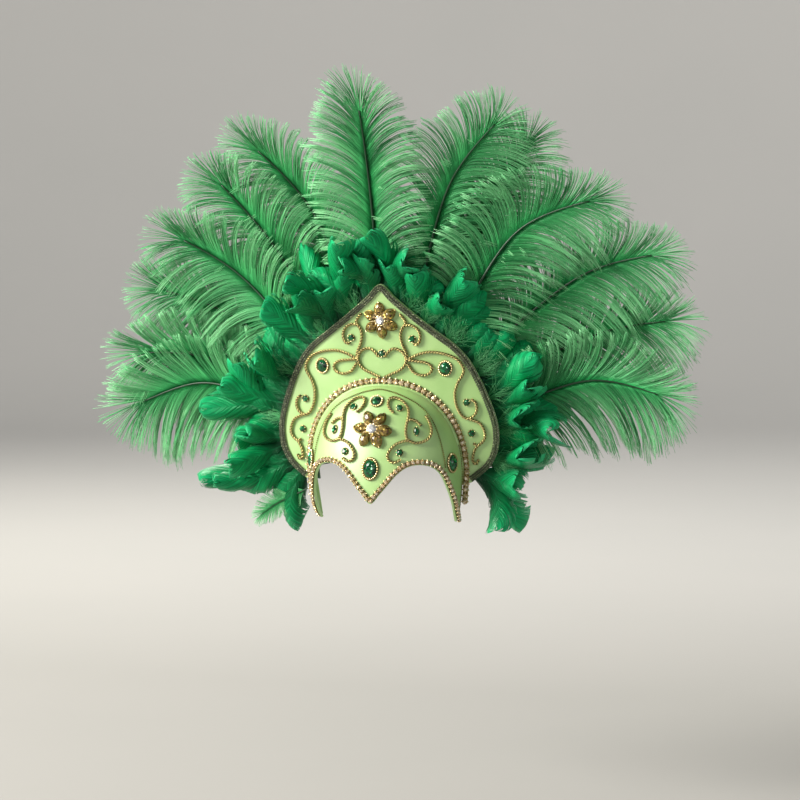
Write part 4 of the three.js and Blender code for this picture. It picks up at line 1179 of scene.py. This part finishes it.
def feather_mesh(stem, stem_radii, lines, tones, barb_radius):
    """Quill and barbs as one mesh, with how far along and how light each point is"""
    v = np.linspace(0, 1, STATIONS)
    radii = np.broadcast_to(barb_radius * (1 - 0.64 * v**1.5), lines.shape[:2])
    stem_outs = np.broadcast_to(TOWARDS_VIEWER, stem[None].shape)
    parts = [
        (strands(stem[None], stem_radii[None], stem_outs, QUILL_SIDES), 1),
        (strands(lines, radii, np.broadcast_to(TOWARDS_VIEWER, lines.shape), BARB_SIDES, 0.6), 0),
    ]
    bare = np.zeros(len(stem) * QUILL_SIDES)
    return strand_mesh(parts, {
        "along": np.concatenate([bare, np.tile(np.repeat(v, BARB_SIDES), len(lines))]),
        "shade": np.concatenate([bare, np.repeat(tones, STATIONS * BARB_SIDES)]),
    })


def plume(number, root, middle, tip, share, layer):
    reach = share * PLUME_REACH
    inner, outer = reach_at(ARCH_LINE, root), reach_at(PLATE_LINE, root)
    start, leave = inner + 0.15 * (outer - inner), inner + 0.62 * (outer - inner)
    spine = Line([polar(root, start), polar(root, outer), polar(middle, 0.7 * reach), polar(tip, reach)])
    barbed = (outer - start) / (reach - start)

    def depth_at(spots):
        away = np.hypot(spots[..., 0], spots[..., 1] - FAN_HEIGHT)
        past = np.clip((away - leave) / PLUME_RISE_LENGTH, 0, 1)
        return QUILL_DEPTH + past**2 * (3 - 2 * past) * (PLUME_SWELL + layer * PLUME_LAYER_STEP)

    stem_shares = np.linspace(0, QUILL_END, QUILL_STATIONS)
    stem_spots = spine.at(stem_shares)
    stem = fan_points(stem_spots, depth_at(stem_spots) - QUILL_FORWARD)
    lines, tones = vane(
        spine, barbed - 0.03, BARBS_A_SIDE, lambda run: BARB_LENGTH * (0.76 + 1.1 * run - 1.26 * run**2),
        lambda run: math.radians(61 - 38 * run**6), BARB_DROOP, depth_at, 1,
    )
    stem_radii = (QUILL_RADIUS - QUILL_TAPER * stem_shares) * MM
    mesh = feather_mesh(stem, stem_radii, lines, tones, BARB_RADIUS)
    return piece(f"ostrich_plume_{number}", mesh, [barb_strand, quill], [f"plume_{number}"])


for number, row in enumerate(PLUMES, 1):
    made = plume(number, *row)
print("plumes:", len(PLUMES), "with", len(made.data.polygons), "faces each")

# %% [markdown]
# ## Down and a loose feather
# Fine curly down fills the spaces between the ruff's feathers, and one small pale feather hangs out at the
# lower left. Both are strands, like the plumes.

# %% Down
DOWN_TUFTS, DOWN_STRANDS, DOWN_RADIUS = 17, 40, 0.2 * MM
DOWN_ROOT, DOWN_DEPTH, DOWN_REACH, DOWN_SWELL, DOWN_WAVE = 3 * MM, 4.6 * MM, (14, 34), (2, 12), 5
v = np.linspace(0, 1, 7)
lines, tones = [], []
for i in range(DOWN_TUFTS):
    share = 0.03 + 0.94 * ((i + rng.random()) / DOWN_TUFTS) ** 0.6
    edge, tangent = PLATE_LINE.at(share), PLATE_LINE.tangent(share)
    outward = np.array([-tangent[1], tangent[0]])
    heading = math.atan2(outward[0], outward[1])
    base = edge - DOWN_ROOT * outward
    tone, swell, spread = rng.random(), rng.uniform(*DOWN_SWELL) * MM, rng.uniform(0.25, 0.5)
    for _ in range(DOWN_STRANDS):
        angle = heading + rng.normal(0, spread)
        ahead = np.array([math.sin(angle), math.cos(angle)])
        aside = np.array([ahead[1], -ahead[0]])
        swing = rng.uniform(-DOWN_WAVE, DOWN_WAVE) * MM
        wave = swing * np.sin(rng.uniform(4, 10) * v + rng.uniform(0, 3)) * v
        reach = rng.uniform(*DOWN_REACH) * MM * v**0.8
        spots = base + reach[:, None] * ahead + wave[:, None] * aside
        lines.append(fan_points(spots, DOWN_DEPTH - swell * rng.uniform(0.4, 1.0) * v**1.5))
        tones.append(0.4 * tone + 0.3 * rng.random())
lines = np.array(lines)
radii = np.broadcast_to(DOWN_RADIUS * (1 - 0.6 * v), lines.shape[:2])
down = piece(
    "ruff_down",
    strand_mesh([(strands(lines, radii, np.broadcast_to(TOWARDS_VIEWER, lines.shape), 3), 0)], {
        "along": np.tile(np.repeat(0.2 + 0.6 * v, 3), len(lines)), "shade": np.repeat(tones, len(v) * 3),
    }), [barb_strand])
print("down:", len(down.data.polygons), "faces")

# %% Loose feather
LOOSE_STATIONS, LOOSE_BARBS, LOOSE_LENGTH, LOOSE_RADIUS = 16, 110, 24 * MM, 0.4 * MM
LOOSE_QUILL_DEPTH, LOOSE_DEPTH = 4 * MM, 5 * MM
spine = Line([(-0.084, 0.004), (-0.104, -0.006), (-0.126, -0.017), (-0.15, -0.034)])
stem_shares = np.linspace(0, QUILL_END, LOOSE_STATIONS)
stem = fan_points(spine.at(stem_shares), np.full(LOOSE_STATIONS, LOOSE_QUILL_DEPTH))
lines, tones = vane(
    spine, 0.1, LOOSE_BARBS, lambda run: LOOSE_LENGTH * (0.7 + 1.0 * run - 1.1 * run**2),
    lambda run: math.radians(46 - 28 * run**4), 0.0,
    lambda spots: np.full(spots.shape[:-1], LOOSE_DEPTH), 0.2,
)
tones = [0.3 + 0.5 * tone for tone in tones]
loose = piece(
    "loose_feather", feather_mesh(stem, (0.7 - 0.5 * stem_shares) * MM, lines, tones, LOOSE_RADIUS),
    [barb_strand, quill])
print("loose feather:", len(loose.data.polygons), "faces")

# %% [markdown]
# ## Board and band behind the head
# The photograph doesn't show the back, so it's plain: a felt panel that holds the quills against the plate,
# and a ribbed elastic band. They follow the same outlines as their solids.

# %% Board
BOARD_SHARES, BOARD_NEAR, BOARD_THICKNESS = (0.03, 0.42), 12.4 * MM, 2 * MM
board_sheet = behind_plate(BOARD_SHARES, BOARD_NEAR)
walled("felt_board", board_sheet, 120, 6, BOARD_THICKNESS, felt, ["back_board"])

# %% Band
BAND_BACK, BAND_WIDTH, BAND_HEIGHT, BAND_THICKNESS = 96 * MM, 20 * MM, 24 * MM, 1.6 * MM
BAND_EASE = 4 * MM
band_half = CAP_HALF_WIDTH + BAND_EASE
band_start = float(plate_depth(band_half, BAND_HEIGHT)) + BOARD_NEAR + BOARD_THICKNESS + CLEARANCE


def band_sheet(u, v):
    angle = math.pi * u
    return np.array([
        band_half * math.cos(angle), band_start + (BAND_BACK - band_start) * math.sin(angle),
        BAND_HEIGHT + BAND_WIDTH * v,
    ])


walled("elastic_band", band_sheet, 96, 8, BAND_THICKNESS, elastic, ["back_band"])

# %% [markdown]
# ## Studio
# A pale floor that rises into a wall all round, so that no horizon shows from any side, and large soft
# lights: a strong one at the upper left, as in the photograph, and weak ones that keep the rest readable.

# %% Floor and light
FLOOR_HEIGHT, FLOOR_RADIUS, SWEEP_RADIUS, WALL_RISE = -0.33, 4.2, 1.6, 2.2
bm = bmesh.new()
bmesh.ops.create_grid(bm, x_segments=96, y_segments=60, size=1.0)
for vert in bm.verts:
    around = math.pi * vert.co.x
    run = (vert.co.y + 1) / 2 * (FLOOR_RADIUS + SWEEP_RADIUS * math.pi / 2 + WALL_RISE)
    bend = min(max((run - FLOOR_RADIUS) / SWEEP_RADIUS, 0), math.pi / 2)
    away = min(run, FLOOR_RADIUS) + SWEEP_RADIUS * math.sin(bend)
    up = SWEEP_RADIUS * (1 - math.cos(bend)) + max(0.0, run - FLOOR_RADIUS - SWEEP_RADIUS * math.pi / 2)
    vert.co = (away * math.cos(around), away * math.sin(around), FLOOR_HEIGHT + up)
bmesh.ops.remove_doubles(bm, verts=bm.verts, dist=1e-5)
floor_mesh = mesh_of(bm)
floor_mesh.shade_smooth()
floor_paint, tree, shader = new_material("floor_paint", Roughness=0.9)
feed(tree, shader, color=mixed(tree, noise(tree, 2.0), tint("a1a09d"), tint("a6a4a1")))
floor_mesh.materials.append(floor_paint)
floor = bpy.data.objects.new("floor", floor_mesh)
scene.collection.objects.link(floor)


def soft_light(name, at, target, size, power, color=(1, 1, 1)):
    lamp = bpy.data.lights.new(name, "AREA")
    lamp.size, lamp.energy, lamp.color = size, power, color
    made = bpy.data.objects.new(name, lamp)
    made.location = at
    made.rotation_euler = (Vector(at) - Vector(target)).to_track_quat("Z", "Y").to_euler()
    scene.collection.objects.link(made)


soft_light("key", (-2.9, -2.3, 1.75), (0, 0, 0.15), 1.9, 335, (1, 0.97, 0.9))
soft_light("fill", (2.4, -2.8, 0.8), (0, 0, 0.15), 1.6, 16)
soft_light("rim", (-1.6, 2.1, 1.8), (0, 0, 0.2), 1.3, 70, (1, 0.97, 0.88))
soft_light("back", (2.2, 2.4, 1.2), (0, 0, 0.15), 1.4, 22)
soft_light("wash", (0, 1.4, 3.2), (0, 5.6, 2.4), 2.5, 170)
world = bpy.data.worlds.new("studio")
scene.world = world
world.use_nodes = True
world.node_tree.nodes["Background"].inputs["Color"].default_value = (0.82, 0.83, 0.84, 1)
world.node_tree.nodes["Background"].inputs["Strength"].default_value = 0.26
scene.view_settings.view_transform = "Standard"
print("studio is lit")

# %% Finish
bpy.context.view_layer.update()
meshes = [o for o in scene.objects if o.type == "MESH"]
triangles = sorted((sum(len(p.vertices) - 2 for p in o.data.polygons), o.name) for o in meshes)
print("largest pieces:", triangles[-4:], "in all", sum(count for count, name in triangles))
